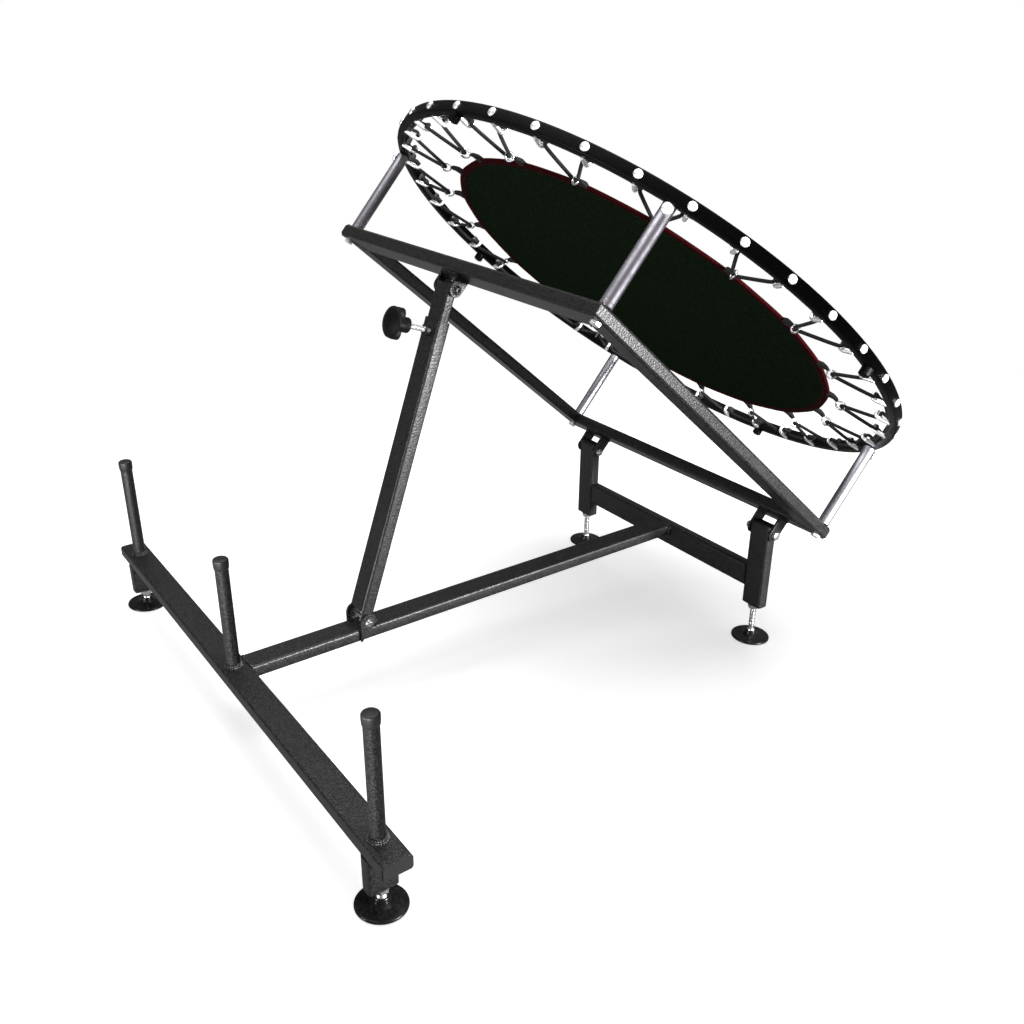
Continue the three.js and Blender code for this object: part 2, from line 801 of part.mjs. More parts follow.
// A closed tube through the points; the frame is carried along and its leftover twist spread evenly
function closedTube(points, radius, around) {
  const count = points.length;
  const tangents = points.map((point, i) => points[(i + 1) % count].clone()
    .sub(points[(i + count - 1) % count]).normalize());
  const normals = [new THREE.Vector3(0, 0, 1).cross(tangents[0]).normalize()];
  const carry = (normal, from, to) => normal.clone()
    .applyQuaternion(new THREE.Quaternion().setFromUnitVectors(from, to))
    .projectOnPlane(to).normalize();
  for (let i = 1; i < count; i += 1) normals.push(carry(normals[i - 1], tangents[i - 1], tangents[i]));
  const last = carry(normals[count - 1], tangents[count - 1], tangents[0]);
  const twist = Math.atan2(last.clone().cross(normals[0]).dot(tangents[0]), last.dot(normals[0]));
  const position = [];
  points.forEach((point, i) => {
    const normal = normals[i].clone().applyAxisAngle(tangents[i], (twist * i) / count);
    for (let j = 0; j < around; j += 1) {
      const spoke = normal.clone().applyAxisAngle(tangents[i], (fullTurn * j) / around);
      position.push(...point.clone().addScaledVector(spoke, radius).toArray());
    }
  });
  const index = [];
  for (let i = 0; i < count; i += 1) {
    for (let j = 0; j < around; j += 1) {
      const a = i * around + j;
      const b = i * around + ((j + 1) % around);
      const c = ((i + 1) % count) * around + j;
      const d = ((i + 1) % count) * around + ((j + 1) % around);
      index.push(a, b, d, a, d, c);
    }
  }
  const geometry = new THREE.BufferGeometry();
  geometry.setAttribute('position', new THREE.Float32BufferAttribute(position, 3));
  geometry.setIndex(index);
  geometry.computeVertexNormals();
  return geometry;
}

// The least gap between parts of the cord that lie further apart along it than a bend's half turn
function leastGap(points, diameter, apart, step) {
  const samples = [];
  points.forEach((point, i) => {
    const next = points[(i + 1) % points.length];
    const parts = Math.ceil(point.distanceTo(next) / step);
    for (let j = 0; j < parts; j += 1) samples.push(point.clone().lerp(next, j / parts));
  });
  const run = [0];
  for (let i = 1; i < samples.length; i += 1) run.push(run[i - 1] + samples[i].distanceTo(samples[i - 1]));
  const total = run[run.length - 1] + samples[0].distanceTo(samples[samples.length - 1]);
  let least = Infinity;
  for (let i = 0; i < samples.length; i += 1) {
    for (let j = i + 1; j < samples.length; j += 1) {
      const along = Math.min(run[j] - run[i], total - run[j] + run[i]);
      if (along > apart) least = Math.min(least, samples[i].distanceTo(samples[j]));
    }
  }
  return { gap: least - diameter, total };
}

function addCord() {
  const points = lacingPoints();
  const { gap, total } = leastGap(points, cordDiameter, halfTurn * cordTurnRadius, cordRadius);
  console.log(`shock cord: length ${total.toFixed(0)} mm, least gap to itself ${gap.toFixed(2)} mm`);
  addPart(hoop, 'shock_cord', closedTube(points, cordRadius, cordSides), 'cord');
}

// Strut: its group stands at the lower pivot, with +Z along the strut and -Y on its front face

const strutFootY = tubeWide + strutFootPlace;
const strutFootZ = beamTop + sleeveSeat + tubeThin / 2;
const strutTopY = -railSpan;
const strutTopZ = hingeToRail - strutTopDrop;
const strutTop = new THREE.Vector3(0, strutTopY, strutTopZ)
  .applyEuler(new THREE.Euler(-frameTilt, 0, 0))
  .add(tilt.position);
const strutRun = new THREE.Vector3(0, strutTop.y - strutFootY, strutTop.z - strutFootZ);
const strutLength = strutRun.length();
const sleeveReach = strutLength - sleeveShort;

const strut = new THREE.Group();
strut.position.set(0, strutFootY, strutFootZ);
strut.rotation.x = -Math.atan2(strutRun.y, strutRun.z);
base.add(strut);

const pinRadius = strutPinDiameter / 2;
const innerWide = tubeWide - 2 * (tubeWall + slideGap);
const innerThin = tubeThin - 2 * (tubeWall + slideGap);
const lockHeight = sleeveReach - lockBelowTop;

function addSleeve() {
  const round = tubeThin / 2;
  const tube = moved(
    rectangularTube(tubeWide, tubeThin, sleeveReach + round, tubeWall, tubeCorner),
    0, -strutForward, -round);
  const notchRun = sleeveNotch + round + cutOverrun;
  const notch = new THREE.BoxGeometry(tubeWide - 2 * tubeCorner, 2 * tubeThin, notchRun);
  const pin = rodAlongX(pinRadius + strutEyeGap, tubeWide + 2 * cutOverrun);
  // The end of the tube is trimmed to a half circle about the pivot
  const block = moved(
    new THREE.BoxGeometry(tubeWide + 2 * cutOverrun, 2 * tubeThin, 2 * round), 0, 0, -round);
  const trim = cut(block, rodAlongX(round, tubeWide + 4 * cutOverrun));
  const boss = rod(lockBossDiameter / 2, lockBossHeight + tubeWall / 2);
  const bossPlace = -strutForward - tubeThin / 2 - (lockBossHeight - tubeWall / 2) / 2;
  const bore = rod(lockScrewDiameter / 2 + lockScrewGap, tubeThin + 2 * lockBossHeight);
  const sleeve = cut(
    joined(tube, moved(boss, 0, bossPlace, lockHeight)),
    moved(notch, 0, 0, (sleeveNotch - round - cutOverrun) / 2),
    trim,
    pin,
    moved(bore, 0, -strutForward - tubeThin / 2 - lockBossHeight, lockHeight),
  );
  addPart(strut, 'strut_sleeve', sleeve, 'paint');
}

function addInner() {
  const round = innerThin / 2 + strutForward;
  const run = strutLength + round - innerBottom;
  const tube = moved(
    rectangularTube(innerWide, innerThin, run, tubeWall, tubeCorner - tubeWall / 2),
    0, -strutForward, innerBottom);
  const block = moved(
    new THREE.BoxGeometry(innerWide + 2 * cutOverrun, 2 * innerThin, 2 * round),
    0, 0, strutLength + round);
  const curve = rodAlongX(round, innerWide + 4 * cutOverrun);
  const trim = cut(block, moved(curve, 0, 0, strutLength));
  const eye = rodAlongX(pinRadius + openPivotGap, innerWide + 2 * cutOverrun);
  addPart(strut, 'strut_inner', cut(tube, trim, moved(eye, 0, 0, strutLength)), 'paint');
}

// A bolt across the strut, from one head to its nut, centred on the strut
function crossBolt(outside) {
  const head = strutPinHead / 2;
  const half = outside + seatGap;
  return turned([
    [0, -half - strutPinHeadThick],
    [head - padChamfer, -half - strutPinHeadThick],
    [head, -half - strutPinHeadThick + padChamfer],
    [head, -half],
    [pinRadius, -half],
    [pinRadius, half],
    [head, half],
    [head, half + strutPinNutThick - padChamfer],
    [head - padChamfer, half + strutPinNutThick],
    [0, half + strutPinNutThick],
  ], headSides).rotateY(-quarterTurn);
}

function addStrutJoints() {
  const lugHeight = beamTop + sleeveSeat + tubeThin / 2 - weldGap;
  const outline = new THREE.Shape();
  outline.moveTo(lugWidth / 2, -lugHeight);
  outline.absarc(0, 0, lugWidth / 2, 0, halfTurn);
  outline.lineTo(-lugWidth / 2, -lugHeight);
  outline.closePath();
  outline.holes.push(new THREE.Path().absarc(0, 0, pinRadius + strutEyeGap, 0, fullTurn, true));
  const lug = extruded(outline, lugThick, holeSteps).rotateX(quarterTurn).rotateZ(quarterTurn);
  const lugFace = tubeWide / 2 + runningGap;
  for (const [name, side] of sides) {
    const x = side > 0 ? lugFace : -lugFace - lugThick;
    addPart(base, `strut_lug_${name}`, lug.clone(), 'paint', [x, strutFootY, strutFootZ]);
  }
  addPart(base, 'strut_bolt_lower', crossBolt(lugFace + lugThick), 'zinc', [0, strutFootY, strutFootZ]);

  const bracketFace = innerWide / 2 + runningGap;
  const bracket = earBracket(bracketWidth, bracketWidth / 2 - weldGap, bracketFace, lugThick, bracketWeb,
    strutTopDrop - weldGap, pinRadius + strutEyeGap);
  addPart(tilt, 'strut_bracket', bracket, 'paint', [0, strutTopY, strutTopZ]);
  addPart(tilt, 'strut_bolt_upper', crossBolt(bracketFace + lugThick), 'zinc', [0, strutTopY, strutTopZ]);
}

// Lock screw with a star knob, square to the sleeve's front face

// A round disc about Z with chamfered edges; its underside is at zero
function disc(radius, thick, edge, around) {
  return turned([
    [0, 0],
    [radius - edge, 0],
    [radius, edge],
    [radius, thick - edge],
    [radius - edge, thick],
    [0, thick],
  ], around);
}

function star() {
  const outer = knobDiameter / 2;
  const lobe = disc(knobLobeRadius, knobThick, knobEdge, headSides);
  const lobes = [];
  for (let i = 0; i < knobLobes; i += 1) {
    lobes.push(atAngle(moved(lobe, outer - knobLobeRadius, 0, 0), (fullTurn * i) / knobLobes));
  }
  return joined(disc(outer * knobWaistShare, knobThick, knobEdge, smallSides), ...lobes);
}

function addLock() {
  const face = -strutForward - tubeThin / 2 - lockBossHeight;
  const hubStart = face - knobStandOff;
  const starStart = hubStart - knobHubLength;
  const head = star().rotateX(quarterTurn);
  const hub = rod(knobHubDiameter / 2, knobHubLength + knobEdge);
  const bore = rod(lockScrewDiameter / 2 + seatGap, knobBoreDepth);
  const knob = cut(
    joined(
      moved(head, 0, starStart, 0),
      moved(hub, 0, hubStart - (knobHubLength + knobEdge) / 2, 0),
    ),
    moved(bore, 0, hubStart - knobBoreDepth / 2 + seatGap, 0),
  );
  addPart(strut, 'lock_knob', knob, 'plastic', [0, 0, lockHeight]);
  const tip = -strutForward - innerThin / 2 - seatGap;
  const tail = hubStart - knobBoreDepth + 2 * seatGap;
  const screw = rod(lockScrewDiameter / 2, tip - tail, smallSides);
  addPart(strut, 'lock_screw', screw, 'zinc', [0, (tip + tail) / 2, lockHeight]);
}

addBeams();
addPlugs();
addPegs();
addLegs();
addFeet();
addRails();
addHinges();
addPosts();
addRing();
addMat();
addCord();
addSleeve();
addInner();
addStrutJoints();
addLock();

// The origin is on the floor, under the middle of the whole object
root.updateMatrixWorld(true);
const extent = new THREE.Box3().setFromObject(root, true);
const middle = extent.getCenter(new THREE.Vector3());
root.position.set(-middle.x, -middle.y, -extent.min.z);

export default root;
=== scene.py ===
# %% [markdown]
# # Medicine ball rebounder
# A rebounder throws a medicine ball back: a round mat is laced into a steel ring, and the ring
# stands on a frame that tilts on a floor base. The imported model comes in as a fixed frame, and
# every piece that is made here stays where that frame says.

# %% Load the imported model
import json
from math import acos, asin, atan2, ceil, cos, hypot, pi, radians, sin, tan

import bmesh
import bpy
from mathutils import Matrix, Vector

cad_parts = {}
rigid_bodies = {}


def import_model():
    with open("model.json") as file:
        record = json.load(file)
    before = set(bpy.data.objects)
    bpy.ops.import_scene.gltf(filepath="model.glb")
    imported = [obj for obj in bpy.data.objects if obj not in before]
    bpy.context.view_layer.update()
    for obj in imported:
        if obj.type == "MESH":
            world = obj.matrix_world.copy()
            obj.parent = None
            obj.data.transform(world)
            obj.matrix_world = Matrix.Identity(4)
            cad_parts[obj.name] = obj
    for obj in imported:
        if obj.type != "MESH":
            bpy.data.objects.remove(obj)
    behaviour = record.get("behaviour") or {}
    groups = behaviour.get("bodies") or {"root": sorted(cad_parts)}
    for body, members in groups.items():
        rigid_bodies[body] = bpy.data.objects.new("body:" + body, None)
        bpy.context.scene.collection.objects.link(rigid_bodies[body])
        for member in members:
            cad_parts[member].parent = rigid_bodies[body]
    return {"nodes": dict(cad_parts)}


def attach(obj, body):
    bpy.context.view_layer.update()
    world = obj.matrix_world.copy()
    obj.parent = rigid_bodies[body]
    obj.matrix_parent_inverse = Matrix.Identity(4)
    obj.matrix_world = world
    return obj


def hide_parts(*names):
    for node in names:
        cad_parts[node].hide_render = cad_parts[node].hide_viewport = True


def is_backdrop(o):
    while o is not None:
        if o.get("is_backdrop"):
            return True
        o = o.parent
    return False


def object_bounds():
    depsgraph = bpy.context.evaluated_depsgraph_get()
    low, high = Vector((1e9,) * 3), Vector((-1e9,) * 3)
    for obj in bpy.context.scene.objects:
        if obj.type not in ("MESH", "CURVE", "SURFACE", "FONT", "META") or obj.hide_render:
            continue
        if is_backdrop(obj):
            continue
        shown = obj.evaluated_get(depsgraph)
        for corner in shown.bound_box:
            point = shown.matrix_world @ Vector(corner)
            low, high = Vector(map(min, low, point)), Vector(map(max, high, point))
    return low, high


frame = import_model()
cad_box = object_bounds()

# %% [markdown]
# ## Camera
# The photograph was taken from the right and in front of the peg beam, a little above the ring.
# The place and the three directions below are those of that view, so the picture lines up.

# %% Camera
camera_place = Vector((1.22289, -0.95975, 0.89951))
camera_right = Vector((0.58311, 0.81123, 0.04342))
camera_up = Vector((-0.34905, 0.20193, 0.91509))
camera_back = Vector((0.73359, -0.54875, 0.40091))
sensor_width = 36
focal_share = 0.99867

scene = bpy.context.scene


def setup(thing, **settings):
    """Gives a thing its settings, by name."""
    for name, value in settings.items():
        setattr(thing, name, value)
    return thing


def put_in_scene(name, data, **settings):
    made = setup(bpy.data.objects.new(name, data), **settings)
    scene.collection.objects.link(made)
    return made


camera_data = setup(bpy.data.cameras.new("camera"), sensor_width=sensor_width,
                    lens=sensor_width * focal_share, clip_end=60)
axes = Matrix((camera_right, camera_up, camera_back)).transposed()
camera = put_in_scene("camera", camera_data, location=camera_place,
                      rotation_mode="QUATERNION", rotation_quaternion=axes.to_quaternion())
bpy.context.scene.camera = camera
print("lens:", round(camera_data.lens, 2), "mm")

# %% [markdown]
# ## Nodes
# The floor, the sky, every finish and every tree that repeats a piece is made of nodes. Written
# out, a node takes a line for each setting and link, so a helper makes a node and fills its
# inputs in one call: a number is set, and a socket, or the first output of a node, is linked.
# Two more helpers start and end a group of nodes with inputs and outputs of its own.

# %% Node helpers
families = {"SHADER": ("ShaderNode", ""),
            "GEOMETRY": ("GeometryNode", "ShaderNode", "FunctionNode", "")}


def fill(tree, node, inputs):
    """Sets a node's inputs from numbers, or links them from sockets or from whole nodes."""
    for name, value in inputs.items():
        if isinstance(value, bpy.types.Node):
            value = next(socket for socket in value.outputs if socket.enabled)
        if isinstance(value, bpy.types.NodeSocket):
            tree.links.new(value, node.inputs[name])
        else:
            node.inputs[name].default_value = value
    return node


def add_node(tree, kind, inputs=None, **settings):
    """A new node; its kind is told without the name of its family."""
    family = next(f for f in families[tree.type] if hasattr(bpy.types, f + kind))
    return fill(tree, setup(tree.nodes.new(family + kind), **settings), inputs or {})


def grey(value):
    return (value, value, value)


def math_node(tree, operation, first, second=0.0):
    return add_node(tree, "Math", {0: first, 1: second}, operation=operation)


def ramp(tree, value, low, high, start=0.0, end=1.0, **settings):
    """Maps the range from low to high onto that from start to end."""
    return add_node(tree, "MapRange", {"Value": value, "From Min": low, "From Max": high,
                                       "To Min": start, "To Max": end}, **settings)


def seen_as(tree, lit, seen):
    """Shows the camera another surface than the one that lights and is mirrored."""
    return add_node(tree, "MixShader", {"Fac": add_node(tree, "LightPath"), 1: lit, 2: seen})


def new_tree(family, name, sockets):
    """Starts a group of nodes; each input comes with its kind or, if a number, its value."""
    tree = bpy.data.node_groups.new(name, f"{family}NodeTree")
    for socket, value in sockets.items():
        kind = value if isinstance(value, str) else "Float"
        made = tree.interface.new_socket(socket, in_out="INPUT", socket_type=f"NodeSocket{kind}")
        if kind != value:
            made.default_value = value
    return tree, tree.nodes.new("NodeGroupInput").outputs


def hand_out(tree, results, kind="Float"):
    """Ends a group of nodes with what it gives."""
    for socket in results:
        tree.interface.new_socket(socket, in_out="OUTPUT", socket_type=f"NodeSocket{kind}")
    add_node(tree, "NodeGroupOutput", results)
    return tree


print("node helpers ready for", ", ".join(families))

# %% [markdown]
# ## Floor and sky
# The backdrop is plain and nearly white: a pale floor that fades into a white surround. A white
# floor would throw much light up under the black rails, so only the camera sees it white, and
# reflections and bounced light meet a greyer one. The sky does the same.

# %% Floor and sky
scene.view_settings.view_transform = "Standard"
floor_half = 14
floor_drop = 0.0004
floor_grey, floor_pale, floor_glow = 0.45, 0.9, 0.55
fade_from, fade_to = 0.85, 2.3
sky_lit, sky_seen = 0.22, 1.0

floor_mesh = bpy.data.meshes.new("floor")
floor_mesh.from_pydata([(x * floor_half, y * floor_half, -floor_drop)
                        for x, y in ((-1, -1), (1, -1), (1, 1), (-1, 1))], [], [(0, 1, 2, 3)])
floor = put_in_scene("floor", floor_mesh)
floor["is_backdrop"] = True

floor_paint = setup(bpy.data.materials.new("pale floor"), use_nodes=True)
floor_mesh.materials.append(floor_paint)
tree = floor_paint.node_tree
grey_coat = fill(tree, tree.nodes["Principled BSDF"],
                 {"Base Color": (*grey(floor_grey), 1), "Roughness": 0.9,
                  "Specular IOR Level": 0.1})
pale_coat = add_node(tree, "BsdfDiffuse", {"Color": (*grey(floor_pale), 1)})
glow = add_node(tree, "Emission", {"Strength": floor_glow})
choice = seen_as(tree, grey_coat, add_node(tree, "AddShader", {0: pale_coat, 1: glow}))
spot = add_node(tree, "TexCoord").outputs["Object"]
from_middle = add_node(tree, "VectorMath", {0: spot}, operation="LENGTH").outputs["Value"]
fade = ramp(tree, from_middle, fade_from, fade_to, interpolation_type="SMOOTHSTEP")
faded = add_node(tree, "MixShader", {"Fac": fade, 1: choice, 2: add_node(tree, "BsdfTransparent")})
fill(tree, tree.nodes["Material Output"], {"Surface": faded})

world = setup(bpy.data.worlds.new("studio"), use_nodes=True)
scene.world = world
sky = world.node_tree
sky.nodes.clear()
lit, white = (add_node(sky, "Background", {"Color": (*grey(1), 1), "Strength": strength})
              for strength in (sky_lit, sky_seen))
add_node(sky, "OutputWorld", {"Surface": seen_as(sky, lit, white)})
print("floor:", 2 * floor_half, "m square, fading from", fade_from, "m")

# %% [markdown]
# ## Light
# Black coated steel shows its texture only where it mirrors a light. A broad light hangs above,
# and a small strong one stands to the right at the height of the frame, so that faces turned to
# it shine and rounded edges catch a thin line. A weak one low in front casts no shadow. As a
# photographer holds cards between a lamp and some pieces, light linking keeps the strong light
# off the floor and off pieces that it would wash out, and two soft lights reach only a few
# pieces: one the pegs, one the front post, the far rail and the strut's lower bolt.

# %% Lights
def soft_light(name, place, target, width, height, power):
    data = setup(bpy.data.lights.new(name, "AREA"), shape="RECTANGLE", size=width,
                 size_y=height, energy=power)
    turn = (Vector(target) - Vector(place)).to_track_quat("-Z", "Y")
    return put_in_scene(name, data, location=place, rotation_mode="QUATERNION",
                        rotation_quaternion=turn)


def keep_off(light, piece):
    """Stands a card between one light and a piece."""
    card = light.light_linking.receiver_collection
    if card is None:
        card = bpy.data.collections.new(f"{light.name} card")
        light.light_linking.receiver_collection = card
    card.objects.link(piece)
    for entry in card.collection_objects:
        entry.light_linking.link_state = "EXCLUDE"


def pieces_of(light):
    """The list of the only pieces that a light reaches."""
    reached = bpy.data.collections.new(f"pieces of the {light.name}")
    light.light_linking.receiver_collection = reached
    return reached.objects


soft_light("overhead light", (-0.2, 0.1, 3.4), (0, 0, 0.2), 3.4, 3.4, 135)
right_light = soft_light("right light", (2.1, 0.6, 0.58), (0, -0.1, 0.45), 0.45, 0.45, 230)
strip_light = soft_light("strip light", (0.1, -2.7, 0.25), (0, -0.4, 0.3), 0.5, 0.5, 66)
strip_light.data.use_shadow = False
for light in (right_light, strip_light):
    keep_off(light, floor)
peg_light = pieces_of(
    soft_light("peg light", (2.4, -2.9, 0.2), (0, -0.5, 0.2), 1.6, 0.6, 350))
post_light = pieces_of(
    soft_light("post light", (2.1, 0.6, 0.58), (0, -0.1, 0.45), 2.4, 1.2, 26))

# %% [markdown]
# ## Where the pieces stand
# Three groups of pieces share a direction: the base leans forward a little on its feet, the
# tilting frame and its ring lean back from the hinge, and the strut leans between them. Each
# group gets a matrix that takes millimetres in its own directions to the model's metres, so that
# a piece is drawn the way it lies on the bench.

# %% Places of the three groups
mm = 0.001
rear_screw_out, front_screw_out, foot_distance = 54, 17.3, 840.6
base_slope = atan2(rear_screw_out - front_screw_out, foot_distance)
frame_tilt = radians(40.8)
hinge_point = Vector((0, 0.310467, 0.205815))
hinge_y, hinge_height = 860.6, 90
hinge_in_base = Vector((0, hinge_y, hinge_height))
ring_centre = Vector((0, 0.190786, 0.563148))
strut_pivot = Vector((0, -0.321933, 0.118649))
strut_length = 509.57
strut_lean = atan2(0.285441, 0.958396)


def place_at(point, turn):
    return Matrix.Translation(point) @ Matrix.Rotation(turn, 4, "X") @ Matrix.Scale(mm, 4)


base_turn = Matrix.Rotation(base_slope, 3, "X")
base_place = place_at(hinge_point - base_turn @ (hinge_in_base * mm), base_slope)
frame_place = place_at(hinge_point, base_slope - frame_tilt)
ring_place = place_at(ring_centre, base_slope - frame_tilt)
strut_place = place_at(strut_pivot, -strut_lean)
print("ring faces", [round(v, 3) for v in (ring_place.to_3x3() @ Vector((0, 0, 1))).normalized()])

# %% [markdown]
# ## Finishes
# Small surface effects come as node groups that any finish may use: a fine grain for coats and
# moulded plastic, soft smudges from hands and handling, dust that settles on faces that look up,
# and a weave for cloth. Each puts out only masks and heights, and the shader stays in the
# material, where its plain numbers are set.

# %% Shared surface effects
tree, given = new_tree("Shader", "surface grain", {"Vector": "Vector", "Scale": 600.0,
                                                   "Lumps": 0.5})
point = {"Vector": given["Vector"], "Scale": given["Scale"]}
fine = add_node(tree, "TexNoise", {**point, "Detail": 3.0, "Roughness": 0.6})
lumps = add_node(tree, "TexVoronoi", {**point, "Randomness": 1.0}, feature="SMOOTH_F1")
blend = add_node(tree, "Mix", {"Factor": given["Lumps"], "A": fine,
                               "B": ramp(tree, lumps, 0.1, 0.7, 1.0, 0.0)})
# The speck mask follows the grain's height: lighter where it stands up. This is partly the coat's
# own speck, and partly a painted glint on the tops of the lumps with painted shade in the hollows.
grain_group = hand_out(tree, {"Height": blend, "Speck": ramp(tree, blend, 0.42, 0.75)})

tree, given = new_tree("Shader", "handling smudges", {"Vector": "Vector", "Scale": 14.0,
                                                      "Amount": 0.5})
cloud = add_node(tree, "TexNoise", {"Vector": given["Vector"], "Scale": given["Scale"],
                                    "Detail": 6.0, "Roughness": 0.65, "Distortion": 0.8})
patches = ramp(tree, cloud, 0.42, 0.72)
smudge_group = hand_out(tree, {"Mask": math_node(tree, "MULTIPLY", patches, given["Amount"])})

tree, given = new_tree("Shader", "settled dust", {"Vector": "Vector", "Amount": 0.3})
facing = add_node(tree, "NewGeometry").outputs["Normal"]
upward = add_node(tree, "SeparateXYZ", {"Vector": facing}).outputs["Z"]
motes = add_node(tree, "TexNoise", {"Vector": given["Vector"], "Scale": 220.0, "Detail": 4.0})
dusty = math_node(tree, "MULTIPLY", ramp(tree, upward, 0.55, 0.98), ramp(tree, motes, 0.45, 0.75))
dust_group = hand_out(tree, {"Mask": math_node(tree, "MULTIPLY", dusty, given["Amount"])})

tree, given = new_tree("Shader", "plain weave", {"Vector": "Vector", "Threads per metre": 600.0})
scaled = add_node(tree, "VectorMath", {0: given["Vector"], "Scale": given["Threads per metre"]},
                  operation="SCALE")
along = add_node(tree, "SeparateXYZ", {"Vector": scaled}).outputs
bows, cells = [], []
for axis in "XY":
    part = math_node(tree, "FRACT", along[axis])
    bows.append(math_node(tree, "SINE", math_node(tree, "MULTIPLY", part, pi)))
    cells.append(math_node(tree, "FLOOR", along[axis]))
over = math_node(tree, "PINGPONG", math_node(tree, "ADD", *cells), 1.0)
top_thread = add_node(tree, "Mix", {"Factor": over, "A": bows[0], "B": bows[1]})
cell = add_node(tree, "VectorMath", {0: scaled}, operation="FLOOR")
tone = add_node(tree, "TexWhiteNoise", {"Vector": cell})
weave_group = hand_out(tree, {"Height": top_thread, "Over": over, "Thread tone": tone})
print("groups:", ", ".join(g.name for g in bpy.data.node_groups))

# %% [markdown]
# A finish is then a short recipe: where its pattern is measured from, two tones with a mask
# between them, how the gloss changes over the surface, and a bump from the same grain.

# %% Finish recipes
dust_colour = (0.32, 0.31, 0.29)


def start_finish(name, **plain):
    """A material with its shader's plain numbers set, and where its pattern is measured from."""
    material = setup(bpy.data.materials.new(name), use_nodes=True)
    tree = material.node_tree
    shader = fill(tree, tree.nodes["Principled BSDF"],
                  {socket.replace("_", " "): value for socket, value in plain.items()})
    return material, tree, shader, add_node(tree, "TexCoord").outputs


def two_tones(tree, mask, first, second):
    tones = [(*tone, 1) if isinstance(tone, tuple) else tone for tone in (first, second)]
    return add_node(tree, "Mix", {"Factor": mask, "A": tones[0], "B": tones[1]}, data_type="RGBA")


def use_group(tree, group, inputs):
    return add_node(tree, "Group", inputs, node_tree=group).outputs


def dress(tree, shader, colour, gloss_mask, gloss, height, strength, depth):
    """Gives the shader its colour, its range of gloss and its bump."""
    bump = add_node(tree, "Bump", {"Height": height, "Strength": strength, "Distance": depth})
    fill(tree, shader, {"Base Color": colour, "Normal": bump,
                        "Roughness": ramp(tree, gloss_mask, 0.0, 1.0, *gloss)})


def coated_finish(name, dark, light, gloss, grain, lumps, depth, strength, dusty, specular):
    """A coat or a moulded skin: two close tones, grain that bumps it, smudges and a little dust."""
    material, tree, shader, where = start_finish(name, Metallic=0.0, Specular_IOR_Level=specular)
    point = where["Object"]
    skin = use_group(tree, grain_group, {"Vector": point, "Scale": grain, "Lumps": lumps})
    hands = use_group(tree, smudge_group, {"Vector": point, "Amount": 0.7})
    settled = use_group(tree, dust_group, {"Vector": point, "Amount": dusty})
    # The light tone falls on the tops of the grain's lumps and the dark tone in its hollows: the
    # coat's own speck together with a painted glint and painted shade.
    tones = two_tones(tree, skin["Speck"], dark, light)
    dress(tree, shader, two_tones(tree, settled["Mask"], tones, dust_colour), hands["Mask"],
          gloss, skin["Height"], strength, depth)
    return material


def plated_finish(name, dark, light, gloss, grain, depth, strength):
    """Plated metal: bright, with clouded plating, fine marks in its gloss and a faint grain."""
    material, tree, shader, where = start_finish(name, Metallic=1.0)
    point = where["Object"]
    skin = use_group(tree, grain_group, {"Vector": point, "Scale": grain, "Lumps": 0.15})
    hands = use_group(tree, smudge_group, {"Vector": point, "Scale": 40.0, "Amount": 1.0})
    dress(tree, shader, two_tones(tree, hands["Mask"], light, dark), hands["Mask"], gloss,
          skin["Height"], strength, depth)
    return material


def cloth_finish(name, dark, light, threads, depth, strength, gloss, sheen=0.0, turn=0.0,
                 specular=0.15):
    """Woven cloth whose threads follow the piece's own UV map, in metres, with painted shade where
    they dip.
    """
    material, tree, shader, where = start_finish(name, Specular_IOR_Level=specular,
                                                 Sheen_Weight=sheen)
    turned = add_node(tree, "Mapping", {"Vector": where["UV"], "Rotation": (0, 0, turn)})
    threaded = use_group(tree, weave_group, {"Vector": turned, "Threads per metre": threads})
    # The colour is darker where each thread dips under the next: painted shade in the grooves of
    # the weave, on top of a random tone for each thread.
    tone = math_node(tree, "MULTIPLY", threaded["Height"], threaded["Thread tone"])
    dress(tree, shader, two_tones(tree, tone, dark, light), threaded["Over"],
          (gloss, gloss - 0.1), threaded["Height"], strength, depth)
    return material


print("recipes for coats, platings and cloths ready")

# %% [markdown]
# Each coat gives its dark and light tone, its gloss, the scale and lumps of its grain, the depth
# and strength of the bump, its dust and its specular level. A plating gives its tones, gloss,
# grain and bump, and a cloth its tones, threads per metre, bump and gloss.

# %% Finishes
coat = coated_finish("hammered black coat", grey(0.0015), (0.0145, 0.015, 0.0138),
                     (0.40, 0.48), 450.0, 0.6, 0.0009, 0.49, 0.04, 0.34)
enamel = coated_finish("black ring enamel", grey(0.0012), (0.0045, 0.0045, 0.0047),
                       (0.45, 0.55), 700.0, 0.5, 0.0003, 0.35, 0.015, 0.06)
moulded = coated_finish("moulded black plastic", grey(0.005), grey(0.014),
                        (0.42, 0.58), 1500.0, 0.4, 0.0002, 0.35, 0.05, 0.3)
rubber = coated_finish("black pad plastic", grey(0.002), grey(0.006),
                       (0.25, 0.42), 1100.0, 0.3, 0.0002, 0.25, 0.02, 0.16)
matt = coated_finish("matt knob plastic", grey(0.002), grey(0.0055),
                     (0.5, 0.62), 1500.0, 0.4, 0.0002, 0.35, 0.02, 0.08)
chrome = plated_finish("polished chrome", (0.26, 0.248, 0.277), (0.40, 0.38, 0.425),
                       (0.36, 0.48), 500.0, 0.00003, 0.08)
bright = plated_finish("bright screw plating", (0.85, 0.85, 0.86), grey(0.97),
                       (0.45, 0.55), 900.0, 0.00005, 0.2)
zinc = plated_finish("zinc plating", (0.3, 0.31, 0.33), (0.6, 0.61, 0.63),
                     (0.28, 0.45), 700.0, 0.0001, 0.3)
weave = cloth_finish("woven mat cloth", (0.0034, 0.0062, 0.0032), (0.0098, 0.0168, 0.0092),
                     520.0, 0.0006, 0.5, 0.85, specular=0.0)
